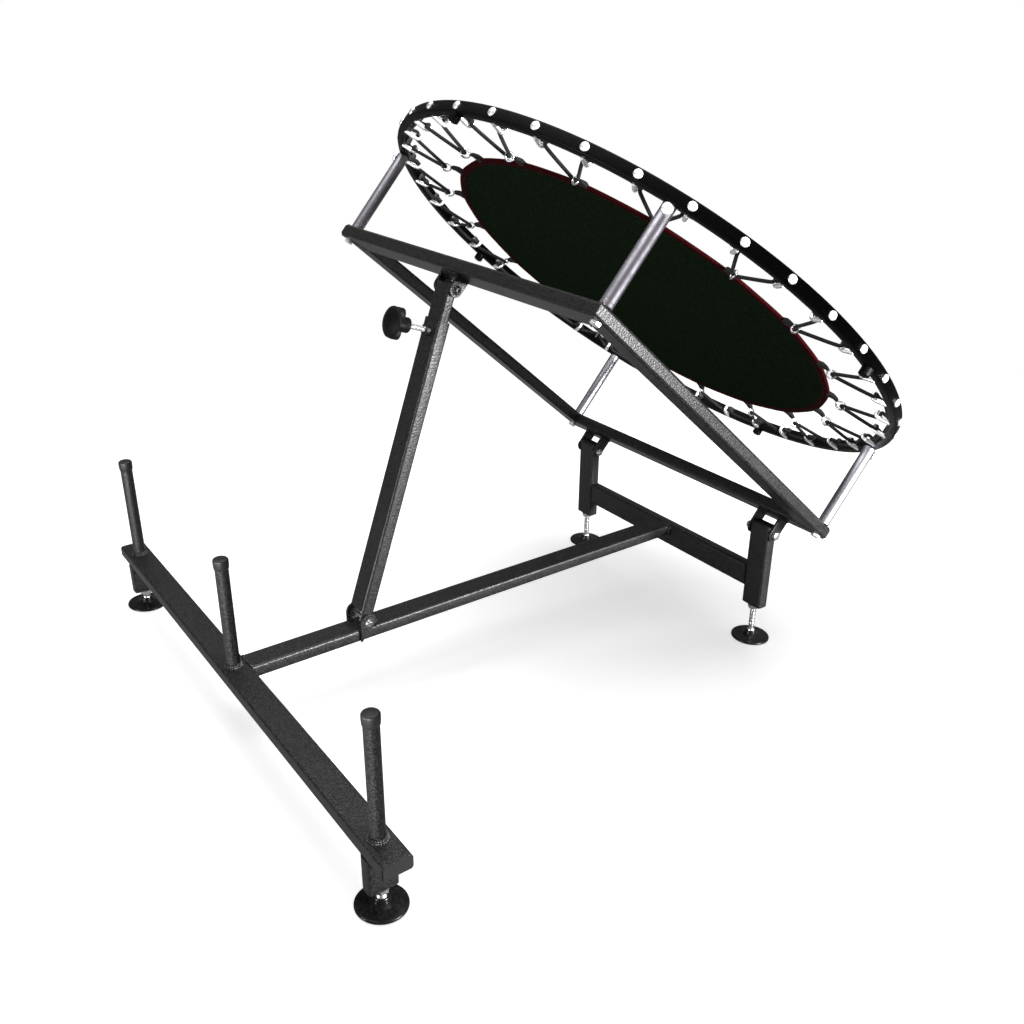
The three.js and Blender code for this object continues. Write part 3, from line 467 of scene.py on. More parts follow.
tape = cloth_finish("dark red binding tape", (0.010, 0.0007, 0.0010), (0.034, 0.0022, 0.0032),
                    900.0, 0.0004, 0.6, 0.85, specular=0.02)
webbing = cloth_finish("black tab webbing", grey(0.002), grey(0.008), 800.0, 0.0005, 0.6, 0.8,
                       sheen=0.02)
braid = cloth_finish("braided cord cover", (0.002, 0.0023, 0.0023), (0.012, 0.013, 0.013),
                     700.0, 0.0005, 0.7, 0.7, sheen=0.03, turn=radians(45))
print("finishes:", ", ".join(m.name for m in bpy.data.materials if m.name != "pale floor"))

# %% [markdown]
# ## Ways to make a piece
# Most hardware is turned: one ring of vertices for each radius and height about its axis, with
# faces between them. A hexagon whose corners are chamfered, for nuts and bolt heads, is rings
# too, whose radius follows the angle. All of them draw into one mesh in millimetres.

# %% Turned and hexagonal shapes
tiny = 1e-6
full_turn = 2 * pi


def new_ring(bm, steps, reach, height, place=Matrix()):
    """A ring about Z; reach and height are numbers or follow the angle. No reach: a pole."""
    if not callable(reach) and reach < tiny:
        steps, reach = 1, 0
    ring = []
    for i in range(steps):
        angle = full_turn * i / steps
        radius = reach(angle) if callable(reach) else reach
        rise = height(angle) if callable(height) else height
        spot = Vector((radius * cos(angle), radius * sin(angle), rise))
        ring.append(bm.verts.new(place @ spot))
    return ring


def add_rings(bm, rings, closed=False):
    """Joins rings of vertices with faces; a ring of one vertex is a pole."""
    for low, high in zip(rings, rings[1:] + rings[:1] if closed else rings[1:]):
        for i in range(max(len(low), len(high))):
            corners = []
            for ring, j in ((low, i), (low, i + 1), (high, i + 1), (high, i)):
                vertex = ring[j % len(ring)]
                if vertex not in corners:
                    corners.append(vertex)
            if len(corners) > 2:
                bm.faces.new(corners)


def add_turned(bm, profile, steps=40, place=Matrix(), closed=False):
    """Turns pairs of radius and height about Z; outward faces come from going up the outside."""
    add_rings(bm, [new_ring(bm, steps, radius, height, place) for radius, height in profile],
              closed)


def arc(radius, height, bend, start, steps=4, sweep=pi / 2, rise=None):
    """Points of an arc in a turned profile, a quarter turn if not told otherwise."""
    angles = [start + sweep * i / steps for i in range(steps + 1)]
    return [(radius + bend * cos(a), height + (rise or bend) * sin(a)) for a in angles]


def dome_profile(radius, height, rim):
    """A round head: a short rim, then an arch to the middle."""
    return [(0, 0), (radius, 0)] + arc(0, rim, radius, 0, 7, rise=height - rim)


def six_sided(flat):
    """How far a hexagon reaches at an angle; flat is half its width across the flats."""
    side = pi / 3
    return lambda angle: flat / cos((angle + side / 2) % side - side / 2)


def add_hexagon(bm, across, thick, place, bore=0.0, steps=24):
    """A hexagon with its top corners chamfered, as on a nut or a bolt head."""
    flat = across / 2
    reach = six_sided(flat)

    def shoulder(angle):
        return thick - (reach(angle) - flat) * tan(radians(30)) - flat * 0.03

    shape = [(reach, 0), (reach, shoulder), (flat * 0.95, thick)]
    shape = shape + [(bore, thick), (bore, 0)] if bore else [(0, 0), *shape, (0, thick)]
    add_turned(bm, shape, steps, place, closed=bool(bore))


print("a hexagon of 13 mm reaches", round(six_sided(6.5)(pi / 6), 2), "mm at its corners")

# %% [markdown]
# Wire, cord and hooks are swept: a section follows a line. A line that bends in space would
# twist the section if each point chose its own upright, so a normal is carried along instead,
# and what twist is left on a closed line is spread over its whole length.

# %% Swept shapes
def smooth_line(points, closed, spacing):
    """A Catmull-Rom line through the points, sampled about every spacing."""
    count = len(points)
    line = []
    for i in range(count if closed else count - 1):
        near = (i - 1, i, i + 1, i + 2)
        a, b, c, d = (points[k % count if closed else min(max(k, 0), count - 1)] for k in near)
        parts = max(1, ceil((c - b).length / spacing))
        for j in range(parts):
            t = j / parts
            line.append(0.5 * (2 * b + (c - a) * t + (2 * a - 5 * b + 4 * c - d) * t ** 2
                               + (3 * b - a - 3 * c + d) * t ** 3))
    if not closed:
        line.append(points[-1].copy())
    return line


def carried_frames(line, closed):
    """A normal and a side direction for each point, carried along the line without twist."""
    count = len(line)
    tangents = []
    for i in range(count):
        ahead = line[(i + 1) % count] if closed else line[min(i + 1, count - 1)]
        behind = line[i - 1] if closed or i else line[0]
        tangents.append((ahead - behind).normalized())
    normal = tangents[0].orthogonal().normalized()
    normals = [normal]
    for before, after in zip(tangents, tangents[1:]):
        normal = before.rotation_difference(after) @ normal
        normal = (normal - after * normal.dot(after)).normalized()
        normals.append(normal)
    if closed:
        end = tangents[-1].rotation_difference(tangents[0]) @ normals[-1]
        twist = atan2(end.cross(normals[0]).dot(tangents[0]), end.dot(normals[0]))
        for i in range(count):
            normals[i] = Matrix.Rotation(twist * i / count, 3, tangents[i]) @ normals[i]
    return [(n, t.cross(n)) for n, t in zip(normals, tangents)]


def add_tube(bm, line, radii, sides=10, closed=False, place=Matrix()):
    """A round tube along the line; radii is one radius or one for each point. Ends are domed."""
    uv = bm.loops.layers.uv.verify()
    if not hasattr(radii, "__len__"):
        radii = [radii] * len(line)
    rings = []
    for point, (normal, side), radius in zip(line, carried_frames(line, closed), radii):
        angles = [full_turn * j / sides for j in range(sides)]
        spokes = [normal * cos(a) + side * sin(a) for a in angles]
        rings.append([bm.verts.new(place @ (point + spoke * radius)) for spoke in spokes])
    run = 0.0
    for i in range(len(line) if closed else len(line) - 1):
        k = (i + 1) % len(line)
        step = (line[k] - line[i]).length
        width = full_turn * radii[i] / sides
        for j in range(sides):
            m = (j + 1) % sides
            face = bm.faces.new((rings[i][j], rings[i][m], rings[k][m], rings[k][j]))
            corners = ((run, j), (run, j + 1), (run + step, j + 1), (run + step, j))
            for loop, (length, around) in zip(face.loops, corners):
                loop[uv].uv = (length * mm, around * width * mm)
        run += step
    if not closed:
        for ring, end, way in ((rings[0], line[0], line[0] - line[1]),
                               (rings[-1], line[-1], line[-1] - line[-2])):
            tip = bm.verts.new(place @ (end + way.normalized() * radii[0] * 0.5))
            for j in range(sides):
                a, b = ring[j], ring[(j + 1) % sides]
                bm.faces.new((b, a, tip) if ring is rings[0] else (a, b, tip))
    return run


# %% [markdown]
# A drawn shape becomes a piece in two steps: its mesh is smoothed up to its sharp edges, and
# its object gets its finish, rides on a body and hides the solid that it stands for.

# %% Turn a drawn shape into a finished piece
turn_x = Matrix.Rotation(pi / 2, 4, "X")
turn_y = Matrix.Rotation(pi / 2, 4, "Y")
upside_down = Matrix.Rotation(pi, 4, "X")


def at(x, y, z, turn=Matrix()):
    return Matrix.Translation((x, y, z)) @ turn


def drawn_mesh(name, bm, sharp):
    mesh = bpy.data.meshes.new(name)
    bm.normal_update()
    bm.to_mesh(mesh)
    bm.free()
    mesh.shade_smooth()
    mesh.set_sharp_from_angle(angle=radians(sharp))
    return mesh


def set_out(name, mesh, body, stands_for=()):
    """Puts a mesh in the scene as a piece of one body."""
    made = put_in_scene(name, mesh)
    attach(made, body)
    if stands_for:
        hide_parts(*stands_for)
    return made


def finished(name, bm, finish, body, place=Matrix(), stands_for=(), sharp=38):
    """Puts the drawn shape in its place in metres, gives it its finish and sets it out."""
    bm.transform(place)
    mesh = drawn_mesh(name, bm, sharp)
    mesh.materials.append(finish)
    return set_out(name, mesh, body, stands_for)


def merge_doubles(bm):
    bmesh.ops.remove_doubles(bm, verts=bm.verts, dist=1e-4)


# %% [markdown]
# ## Steel tube
# The beams, rails, legs and strut are flat steel tube. Their solids already have the right shape,
# but their faces are loose triangles. A merged copy joins the flat faces, gets a small bevel on
# its cut edges, and weights its normals by face, so that the flats stay flat and the rounded
# corners of the tube catch one soft line of light.

# %% Coated steel from the solids
eased_edge = 0.0005


def clean_copy(node, finish, name):
    solid = frame["nodes"][node]
    bm = bmesh.new()
    bm.from_mesh(solid.data)
    bmesh.ops.remove_doubles(bm, verts=bm.verts, dist=2e-6)
    bmesh.ops.dissolve_limit(bm, angle_limit=radians(0.8), verts=bm.verts, edges=bm.edges,
                             use_dissolve_boundaries=False)
    made = finished(name, bm, finish, solid.parent.name.split(":", 1)[1], stands_for=[node],
                    sharp=55)
    setup(made.modifiers.new("eased edges", "BEVEL"), width=eased_edge, segments=2,
          limit_method="ANGLE", angle_limit=radians(60), harden_normals=False)
    setup(made.modifiers.new("flat faces stay flat", "WEIGHTED_NORMAL"), keep_sharp=True,
          weight=90)
    return made


def pair(part):
    return [f"{part}_left", f"{part}_right"]


coated_nodes = ["peg_beam", "centre_beam", "rear_beam", *pair("front_leg"), *pair("rear_upright"),
                "upper_rail", "lower_rail", *pair("side_rail"), *pair("hinge_bracket"),
                *pair("strut_lug"), "strut_bracket", "strut_sleeve"]
steel = {node: clean_copy(node, coat, f"{node}_coated") for node in coated_nodes}
far_rail = steel["side_rail_left"]
keep_off(right_light, far_rail)
post_light.link(far_rail)
for node in pair("peg_beam_plug") + pair("upright_plug"):
    clean_copy(node, moulded, f"{node}_moulded")
clean_copy("strut_inner", coat, "strut_inner_tube")
print("steel pieces:", len(coated_nodes))

# %% [markdown]
# ## Weight pegs
# Three short tubes stand through the peg beam, so that plates can hold the base down. Each has a
# bead of weld round its foot and a push-on cap with a rounded top and a thin lip.

# %% Pegs and caps
tube_thin = 20
tube_wide = 40
half_wide = tube_wide / 2
peg_reach = 422
peg_radius = 9.5
peg_wall = 2
peg_bottom = 2.3
peg_top = 189
cap_gap = 0.35
cap_radius = 10.9
cap_depth = 13
cap_crown = 3
cap_edge = 3.4
fine_steps = 56

for side, x in (("left", -peg_reach), ("centre", 0), ("right", peg_reach)):
    here = base_place @ at(x, half_wide, 0)
    bm = bmesh.new()
    inner = peg_radius - peg_wall
    add_turned(bm, [(inner, peg_bottom), (peg_radius, peg_bottom), (peg_radius, peg_top),
                    (inner, peg_top)], fine_steps, closed=True)
    tube = finished(f"peg_{side}_tube", bm, coat, "base", here, [f"weight_peg_{side}"])

    bm = bmesh.new()
    inside = peg_radius + cap_gap
    low = peg_top - cap_depth
    profile = [(inside, low), (cap_radius - 0.9, low), (cap_radius - 0.5, low + 0.7),
               (cap_radius - 0.2, low + 4), (cap_radius, low + 7)]
    profile += arc(cap_radius - cap_edge, peg_top + cap_crown - cap_edge - 0.4, cap_edge, 0, 7)
    profile += [(4, peg_top + cap_crown - 0.1), (0, peg_top + cap_crown), (0, peg_top + 0.3),
                (inside, peg_top + 0.3), (inside, low)]
    add_turned(bm, profile, fine_steps)
    merge_doubles(bm)
    cap = finished(f"peg_{side}_cap", bm, moulded, "base", here, [f"peg_cap_{side}"])
    for piece in (tube, cap):
        keep_off(right_light, piece)
        peg_light.link(piece)
print("pegs reach", peg_top - tube_thin, "mm above the beam")

# %% [markdown]
# ## Levelling feet
# Each foot is a threaded stem with a ball end, a lock nut under the leg and a round pad that
# swivels on the ball. The thread is a real ridge that climbs the stem: a spiral curve gets a
# small profile in a geometry tree, whose pitch and length are its inputs.

# %% A tree for threads
def end_tree(tree, geometry, finish, smooth=False):
    """Makes copies into real faces and gives them their finish."""
    made = add_node(tree, "RealizeInstances", {"Geometry": geometry})
    if smooth:
        made = add_node(tree, "SetShadeSmooth", {"Geometry": made})
    made = add_node(tree, "SetMaterial", {"Geometry": made, "Material": finish})
    return hand_out(tree, {"Geometry": made}, "Geometry")


def grown_mesh(name, tree, start, **values):
    """Runs a geometry tree once on the start mesh and returns the result as a plain mesh."""
    host = put_in_scene(name, start)
    rule = setup(host.modifiers.new("rule", "NODES"), node_group=tree)
    for item in tree.interface.items_tree:
        if item.in_out == "INPUT" and item.name in values:
            rule[item.identifier] = values[item.name]
    host.update_tag()
    depsgraph = bpy.context.evaluated_depsgraph_get()
    made = bpy.data.meshes.new_from_object(host.evaluated_get(depsgraph), depsgraph=depsgraph,
                                           preserve_all_data_layers=True)
    host.modifiers.remove(rule)
    bpy.data.objects.remove(host)
    return setup(made, name=name)


tree, given = new_tree("Geometry", "screw thread", {
    "Geometry": "Geometry", "Radius": "Float", "Pitch": "Float", "Turns": "Float",
    "Depth": "Float", "Finish": "Material"})
radius = given["Radius"]
spiral = add_node(tree, "CurveSpiral", {
    "Resolution": 20, "Rotations": given["Turns"], "Start Radius": radius, "End Radius": radius,
    "Height": math_node(tree, "MULTIPLY", given["Pitch"], given["Turns"])})
ridge = add_node(tree, "CurvePrimitiveCircle", {"Resolution": 4, "Radius": given["Depth"]})
swept = add_node(tree, "CurveToMesh", {"Curve": spiral, "Profile Curve": ridge, "Fill Caps": True})
thread_tree = end_tree(tree, swept, given["Finish"])


def add_thread(bm, radius, pitch, length, depth, place, finish):
    made = grown_mesh("thread", thread_tree, bpy.data.meshes.new("thread start"), Radius=radius,
                      Pitch=pitch, Turns=length / pitch, Depth=depth, Finish=finish)
    made.transform(place)
    bm.from_mesh(made)
    bpy.data.meshes.remove(made)


print("thread tree:", len(thread_tree.nodes), "nodes")

# %% [markdown]
# The three parts of a foot are turned. The pad has a thin edge, a sunk underside and a hub with
# a socket for the ball, and it stays level while the base leans.

# %% Feet
leg_bottom = -50
upright_x = 226
front_ball, rear_ball = -67.3, -104
foot_places = {
    "front_left": (-peg_reach, half_wide, front_ball),
    "front_right": (peg_reach, half_wide, front_ball),
    "rear_left": (-upright_x, hinge_y, rear_ball), "rear_right": (upright_x, hinge_y, rear_ball),
}
stem_radius = 5
stem_length = 62
stem_thread = 0.55
thread_pitch = 1.5
thread_start, thread_end = 10.5, 2.5
ball_radius = 7
nut_across = 17
nut_thick = 8
nut_gap = 0.3
nut_flange = 1.6
flange_radius = 10.5
pad_radius = 32.5
pad_edge = 4
pad_hub = 10
pad_height = 14
ball_height = 12

for side, (x, y, ball) in foot_places.items():
    bm = bmesh.new()
    core = stem_radius - stem_thread
    meet = acos(core / ball_radius)
    profile = arc(0, 0, ball_radius, -pi / 2, 12, meet + pi / 2)
    profile += [(core, 9), (core, stem_length - 1), (core - 1, stem_length), (0, stem_length)]
    add_turned(bm, profile, 32)
    add_thread(bm, core, thread_pitch, stem_length - thread_start - thread_end, stem_thread,
               at(0, 0, thread_start), zinc)
    finished(f"foot_{side}_stem", bm, zinc, f"stem_{side}", base_place @ at(x, y, ball),
             [f"foot_stem_{side}"])

    bm = bmesh.new()
    top = leg_bottom - nut_gap
    low = top - nut_flange
    bore = stem_radius + nut_gap
    add_hexagon(bm, nut_across, nut_thick - nut_flange, at(0, 0, low, upside_down),
                stem_radius + 0.05)
    add_turned(bm, [(bore, low), (flange_radius, low), (flange_radius, top), (bore, top)],
               closed=True)
    finished(f"foot_{side}_nut", bm, zinc, "base", base_place @ at(x, y, 0),
             [f"foot_nut_{side}"])

    bm = bmesh.new()
    socket = ball_radius + 0.5
    rim = asin((pad_height - ball_height) / socket)
    profile = [(0, 0), (pad_radius - 5, 0), (pad_radius - 4, 0.8), (pad_radius - 2.5, 0.8),
               (pad_radius - 2, 0)]
    profile += arc(pad_radius - 1.2, 1.2, 1.2, -pi / 2)
    profile += arc(pad_radius - 2, pad_edge - 2, 2, 0, 5)
    profile += [(pad_radius - 6, pad_edge + 0.2), (pad_hub + 8, pad_edge + 0.7),
                (pad_hub + 3, pad_edge + 1.6), (pad_hub + 0.6, pad_edge + 3.4),
                (pad_hub - 0.3, pad_height - 2.6), (pad_hub - 0.6, pad_height - 0.9),
                (pad_hub - 1.4, pad_height)]
    profile += arc(0, ball_height, socket, rim, 6, -(rim + pi / 2))
    add_turned(bm, profile, 64)
    level = Matrix.Translation(base_place @ Vector((x, y, ball))) @ Matrix.Scale(mm, 4)
    finished(f"foot_{side}_pad", bm, rubber, f"pad_{side}", level @ at(0, 0, -ball_height),
             [f"foot_pad_{side}"])
print("feet:", len(foot_places))

# %% [markdown]
# ## Bolts
# The hinge bolts and the bolts under the posts have hexagon heads. The two strut bolts have low
# round heads with a key hole, and they end in lock nuts, whose rounded collar holds a plastic
# ring.

# %% Bolts and nuts
bolt_gap = 0.3
bolt_shank = 3.9
bolt_bore = 4
bolt_across = 13
ear_outside = 24.5
lug_outside = 24.5
bracket_outside = 35 / 2 + 0.5 + 4


def add_washer(bm, inner, outer, thick, place):
    add_turned(bm, [(inner, 0), (outer - 0.3, 0), (outer, 0.3), (outer, thick - 0.3),
                    (outer - 0.3, thick), (inner, thick)], 40, place, closed=True)


def add_collar_nut(bm, across, thick, bore, place):
    """A lock nut: a hexagon with a turned collar on top."""
    add_hexagon(bm, across, thick * 0.62, place, bore)
    collar = across / 2 * 0.86
    low = thick * 0.55
    profile = [(bore, low), (collar, low), *arc(collar - 1, thick - 1, 1, 0), (bore, thick)]
    add_turned(bm, profile, 36, place, closed=True)


def add_socket_head(bm, radius, thick, key, place):
    """A low round head with a six-sided key hole sunk in its middle."""
    sweep = pi / 2 * 0.62
    profile = [(0, 0), *arc(0, 0, radius, 0, 6, sweep, thick / sin(sweep))]
    profile += [(six_sided(key / 2), thick), (six_sided(key / 2), thick * 0.25), (0, thick * 0.2)]
    add_turned(bm, profile, 24, place)


def cross_bolt(name, node, half, body, place, finish):
    """A bolt across the strut: a socket head on one side, a lock nut on the other."""
    bm = bmesh.new()
    head_side = at(half, 0, 0, turn_y)
    add_washer(bm, bolt_bore, 7.6, 0.9, head_side)
    add_socket_head(bm, 6.6, 4.4, 5, head_side @ at(0, 0, 0.8))
    add_collar_nut(bm, bolt_across, 7, bolt_bore, at(-half, 0, 0, turn_y.inverted()))
    tail = -half - 8.5
    add_turned(bm, [(0, tail), (3, tail), (bolt_shank, tail + 0.9), (bolt_shank, half + 1),
                    (0, half + 1)], 28, turn_y)
    return finished(name, bm, finish, body, place, [node])


for side, sign in (("left", -1), ("right", 1)):
    reach = ear_outside + bolt_gap
    tail = -2 * reach - 8
    outward = Matrix.Rotation(sign * pi / 2, 4, "Y")
    bm = bmesh.new()
    head = at(sign * (upright_x + reach), hinge_y, hinge_height, outward)
    add_hexagon(bm, bolt_across, 5.6, head @ at(0, 0, 0.1))
    add_turned(bm, [(0, tail), (3, tail), (bolt_shank, tail + 1), (bolt_shank, 1), (0, 1)], 28,
               head)
    finished(f"hinge_bolt_{side}_bright", bm, zinc, "base", base_place, [f"hinge_bolt_{side}"])
    bm = bmesh.new()
    add_collar_nut(bm, bolt_across, 8, bolt_bore, at(sign * (upright_x - reach), hinge_y,
                                                     hinge_height, outward.inverted()))
    finished(f"hinge_nut_{side}_bright", bm, zinc, "base", base_place, [f"hinge_nut_{side}"])

lower_bolt = cross_bolt("strut_bolt_lower_bright", "strut_bolt_lower", lug_outside + bolt_gap,
                        "base", place_at(strut_pivot, base_slope), zinc)
keep_off(right_light, lower_bolt)
post_light.link(lower_bolt)
upper_pivot = strut_place @ Vector((0, 0, strut_length))
cross_bolt("strut_bolt_upper_bright", "strut_bolt_upper", bracket_outside + bolt_gap,
           "tilt_frame", place_at(upper_pivot, base_slope - frame_tilt), coat)
print("upper pivot at", [round(v, 4) for v in upper_pivot])

# %% [markdown]
# ## Posts
# Four polished posts carry the ring above the corners of the tilting frame. Each is held from
# below by a bolt, and a dome screw near its top looks outwards.

# %% Posts and their bolts
ring_radius = 457
post_radius = 9.5
post_circle = ring_radius - post_radius
post_corner = radians(45.63)
post_x = post_circle * cos(post_corner)
post_y = post_circle * sin(post_corner)
rail_margin = 15.5
rail_span = 2 * (post_y + rail_margin) - tube_wide
rail_bottom = 32
rail_top = 52
post_run = 144.4
post_bore = 4.3
bore_depth = 30
bolt_reach = 28
post_edge = 1.8
screw_drop = 9
seat_gap = 0.3

corners = {"upper_left": (-1, -1), "upper_right": (1, -1), "lower_left": (-1, 1),
           "lower_right": (1, 1)}
for corner, (side, along_y) in corners.items():
    here = frame_place @ at(side * post_x, along_y * post_y - rail_span / 2, 0)
    low = rail_top + seat_gap
    high = low + post_run
    bm = bmesh.new()
    profile = [(post_bore, low), (post_radius - 0.6, low), (post_radius, low + 0.6),
               (post_radius, low + 5), (post_radius - 0.35, low + 5.4),
               (post_radius - 0.35, low + 6.4), (post_radius, low + 6.8)]
    profile += arc(post_radius - post_edge, high - post_edge, post_edge, 0, 5)
    profile += [(0, high), (0, low + bore_depth), (post_bore, low + bore_depth),
                (post_bore, low)]
    add_turned(bm, profile, fine_steps)
    merge_doubles(bm)
    post = finished(f"post_{corner}_chrome", bm, chrome, "tilt_frame", here,
                    [f"ring_post_{corner}"])
    if along_y < 0:
        keep_off(right_light, post)
    if corner == "upper_right":
        post_light.link(post)

    bm = bmesh.new()
    outward = Matrix.Rotation(atan2(along_y * post_y, side * post_x), 4, "Z")
    add_turned(bm, dome_profile(7.5, 5.0, 1.4), 36,
               at(0, 0, high - screw_drop) @ outward @ at(post_radius - 0.4, 0, 0, turn_y))
    finished(f"post_{corner}_screw", bm, bright, "tilt_frame", here)

    bm = bmesh.new()
    add_hexagon(bm, 12.6, 4.8, at(0, 0, rail_bottom - seat_gap, upside_down))
    add_turned(bm, [(0, rail_bottom - 1), (bolt_shank, rail_bottom - 1),
                    (bolt_shank, rail_top + bolt_reach), (0, rail_top + bolt_reach)], 20)
    finished(f"post_{corner}_bolt", bm, bright, "tilt_frame", here,
             [f"post_bolt_{corner}"])
print("posts:", len(corners))

# %% [markdown]
# ## Ring
# The ring is one flat band of steel bent round and enamelled. Its 38 fixings repeat, so a
# geometry tree sets one screw, one hook and one inner nut round a circle, each from a model of
# its own. The count, radius, height and first angle are inputs of the tree.

# %% A tree that repeats a piece round a circle
tree, given = new_tree("Geometry", "pieces round a circle", {
    "Geometry": "Geometry", "Count": "Int", "Radius": "Float", "Height": "Float",
    "First": "Float", "Piece": "Object", "Finish": "Material"})
row = add_node(tree, "MeshLine", {"Count": given["Count"], "Offset": (0, 0, 0)})
share = math_node(tree, "DIVIDE", add_node(tree, "InputIndex"), given["Count"])
turned_by = fill(tree, math_node(tree, "MULTIPLY_ADD", share, full_turn), {2: given["First"]})
x, y = (math_node(tree, "MULTIPLY", given["Radius"], math_node(tree, part, turned_by))
        for part in ("COSINE", "SINE"))
spot = add_node(tree, "CombineXYZ", {"X": x, "Y": y, "Z": given["Height"]})
spread = add_node(tree, "SetPosition", {"Geometry": row, "Position": spot})
model = add_node(tree, "ObjectInfo", {"Object": given["Piece"], "As Instance": True})
placed = add_node(tree, "InstanceOnPoints", {
    "Points": spread, "Instance": model.outputs["Geometry"],
    "Rotation": add_node(tree, "CombineXYZ", {"Z": turned_by})})
circle_tree = end_tree(tree, placed, given["Finish"])


def round_the_ring(name, bm, count, radius, height, first, finish, sharp=38):
    """Repeats the drawn shape round the ring; the model that it copies is removed again."""
    model = put_in_scene(f"{name} model", drawn_mesh(f"{name} model", bm, sharp))
    mesh = grown_mesh(name, circle_tree, bpy.data.meshes.new("start"), Count=count,
                      Radius=radius, Height=height, First=first, Piece=model, Finish=finish)
    bpy.data.objects.remove(model)
    mesh.transform(ring_place)
    return set_out(name, mesh, "tilt_frame")


print("circle tree:", len(circle_tree.nodes), "nodes")

# %% [markdown]
# The band is a closed section turned once. A dome screw shows outside at each fixing, and
# inside a nut and a wire hook, whose end turns up to hold the cord.

# %% Ring band, screws and hooks
ring_band = 14
ring_depth = 18.5
ring_corner = 3.2
ring_inside = ring_radius - ring_band
fixing_count = 38
fixing_pitch = full_turn / fixing_count
first_fixing = -pi / 2
lace_count = 19
lace_pitch = 2 * fixing_pitch
lace_start = first_fixing + fixing_pitch / 2
lace_drop = 8
hook_reach = 20

half = ring_depth / 2
inner_bend = ring_inside + ring_corner
outer_bend = ring_radius - ring_corner
upper_bend = half - ring_corner
bm = bmesh.new()
section = [arc(radius, height, ring_corner, start, 5) for radius, height, start in (
    (inner_bend, -upper_bend, pi), (outer_bend, -upper_bend, -pi / 2),
    (outer_bend, upper_bend, 0), (inner_bend, upper_bend, pi / 2))]
add_turned(bm, sum(section, []), 228, closed=True)
band = finished("ring_band", bm, enamel, "tilt_frame", ring_place, ["ring"], sharp=50)
keep_off(right_light, band)

bm = bmesh.new()
add_turned(bm, dome_profile(6.2, 4.0, 0.9), 24, at(-0.3, 0, 0, turn_y))
round_the_ring("ring_screws", bm, fixing_count, ring_radius, 0, first_fixing, bright)

bm = bmesh.new()
add_hexagon(bm, 13, 5, at(0.2, 0, 0, turn_y.inverted()), steps=12)
round_the_ring("ring_inner_nuts", bm, fixing_count, ring_inside, 2, first_fixing, moulded)

bm = bmesh.new()
hook_line = smooth_line([Vector(p) for p in (
    (3, 0, 0), (-4, 0, 0), (-12, 0, 0), (-17.5, 0, 0.4), (-20.6, 0, 3.0), (-21.2, 0, 7.0),
    (-20.6, 0, 10.5))], False, 1.6)
add_tube(bm, hook_line, [3.4 if p.x > -15 else 2.7 for p in hook_line])
round_the_ring("ring_hooks", bm, fixing_count, ring_inside, -lace_drop, first_fixing, bright,
               sharp=60)
print("fixings:", fixing_count)

# %% [markdown]
# Under the ring four short round sockets are left closed with a black plug each. They would take
# legs if the ring stood on the floor by itself.

# %% Closed sockets under the ring
socket_radius = 8
socket_wall = 1.6
socket_depth = 10
socket_edge = 0.6
bm = bmesh.new()
plug = socket_radius - socket_wall
profile = [(0, -socket_depth - 1.4), (plug - 1, -socket_depth - 1.2), (plug, -socket_depth - 0.2)]
profile += arc(socket_radius - socket_edge, -socket_depth + socket_edge, socket_edge, -pi / 2, 3)
profile += [(socket_radius, 1), (0, 1)]
add_turned(bm, profile)
round_the_ring("ring_sockets", bm, 4, ring_radius - ring_band / 2, -half, first_fixing, enamel)
print("sockets reach", socket_depth, "mm below the band")

# %% [markdown]
# ## Mat
# The mat is a disc of tight woven cloth, stretched by the cord. It is made as one sheet with a
# grid of rings, drawn out a little at each of its 19 tabs and lowered a touch in the middle,
# and its UV map holds its flat size in metres, so that the threads run straight across.

# %% Mat cloth
mat_radius = ring_inside - 99
cloth_radius = mat_radius - 3.6
cloth_sag = 2.5
cloth_thick = 1.8
edge_draw = 0.9
edge_ripple = 0.35
spokes = 228
rounds = 44


def pull(angle):
    """How near an angle is to a tab: 1 at a tab, -1 half way to the next."""
    return cos((angle - lace_start) * lace_count)


def cloth_reach(share):
    return lambda angle: cloth_radius * share - edge_draw * share ** 12 * (1 - pull(angle))


def cloth_height(share):
    return lambda angle: -cloth_sag * (1 - share ** 2) + edge_ripple * share ** 10 * pull(angle)


def give_uv(bm, where):
    """Sets the UV map, in metres, from where each corner lies in millimetres."""
    uv = bm.loops.layers.uv.verify()
    for face in bm.faces:
        for loop in face.loops:
            loop[uv].uv = [v * mm for v in where(loop.vert.co, face)]


bm = bmesh.new()
grid = [new_ring(bm, spokes, 0, -cloth_sag)]
for i in range(1, rounds + 1):
    grid.append(new_ring(bm, spokes, cloth_reach(i / rounds), cloth_height(i / rounds)))
add_rings(bm, grid)
bmesh.ops.reverse_faces(bm, faces=bm.faces)
bmesh.ops.recalc_face_normals(bm, faces=bm.faces)
give_uv(bm, lambda spot, face: (spot.x, spot.y))
mat_cloth = finished("mat_cloth", bm, weave, "tilt_frame", ring_place, ["mat"], sharp=60)
setup(mat_cloth.modifiers.new("cloth thickness", "SOLIDIFY"), thickness=cloth_thick * mm,
      offset=0)
print("cloth:", round(2 * cloth_radius), "mm across")

# %% [markdown]
# A tape is folded over the cloth's edge and sewn down. Its section is turned like the band, but
# drawn out at each tab as the cloth is.

# %% Binding tape
tape_width = 12
tape_half = 2.6
tape_draw = 0.7
tape_steps = 304
inside, outside = mat_radius - tape_width, mat_radius
tape_section = [
    (inside, -1.3), (inside + 0.3, -1.9), (inside + 3, -2.3), (outside - 3, -tape_half),
    (outside - 0.8, -1.9), (outside, 0), (outside - 0.8, 1.9), (outside - 3, tape_half),
    (inside + 3, 2.3), (inside + 0.3, 1.9), (inside, 1.3), (outside - 3.1, 1.3),
    (outside - 3.1, -1.3),
]


def tape_reach(radius):
    return lambda angle: radius - tape_draw * (1 - pull(angle))


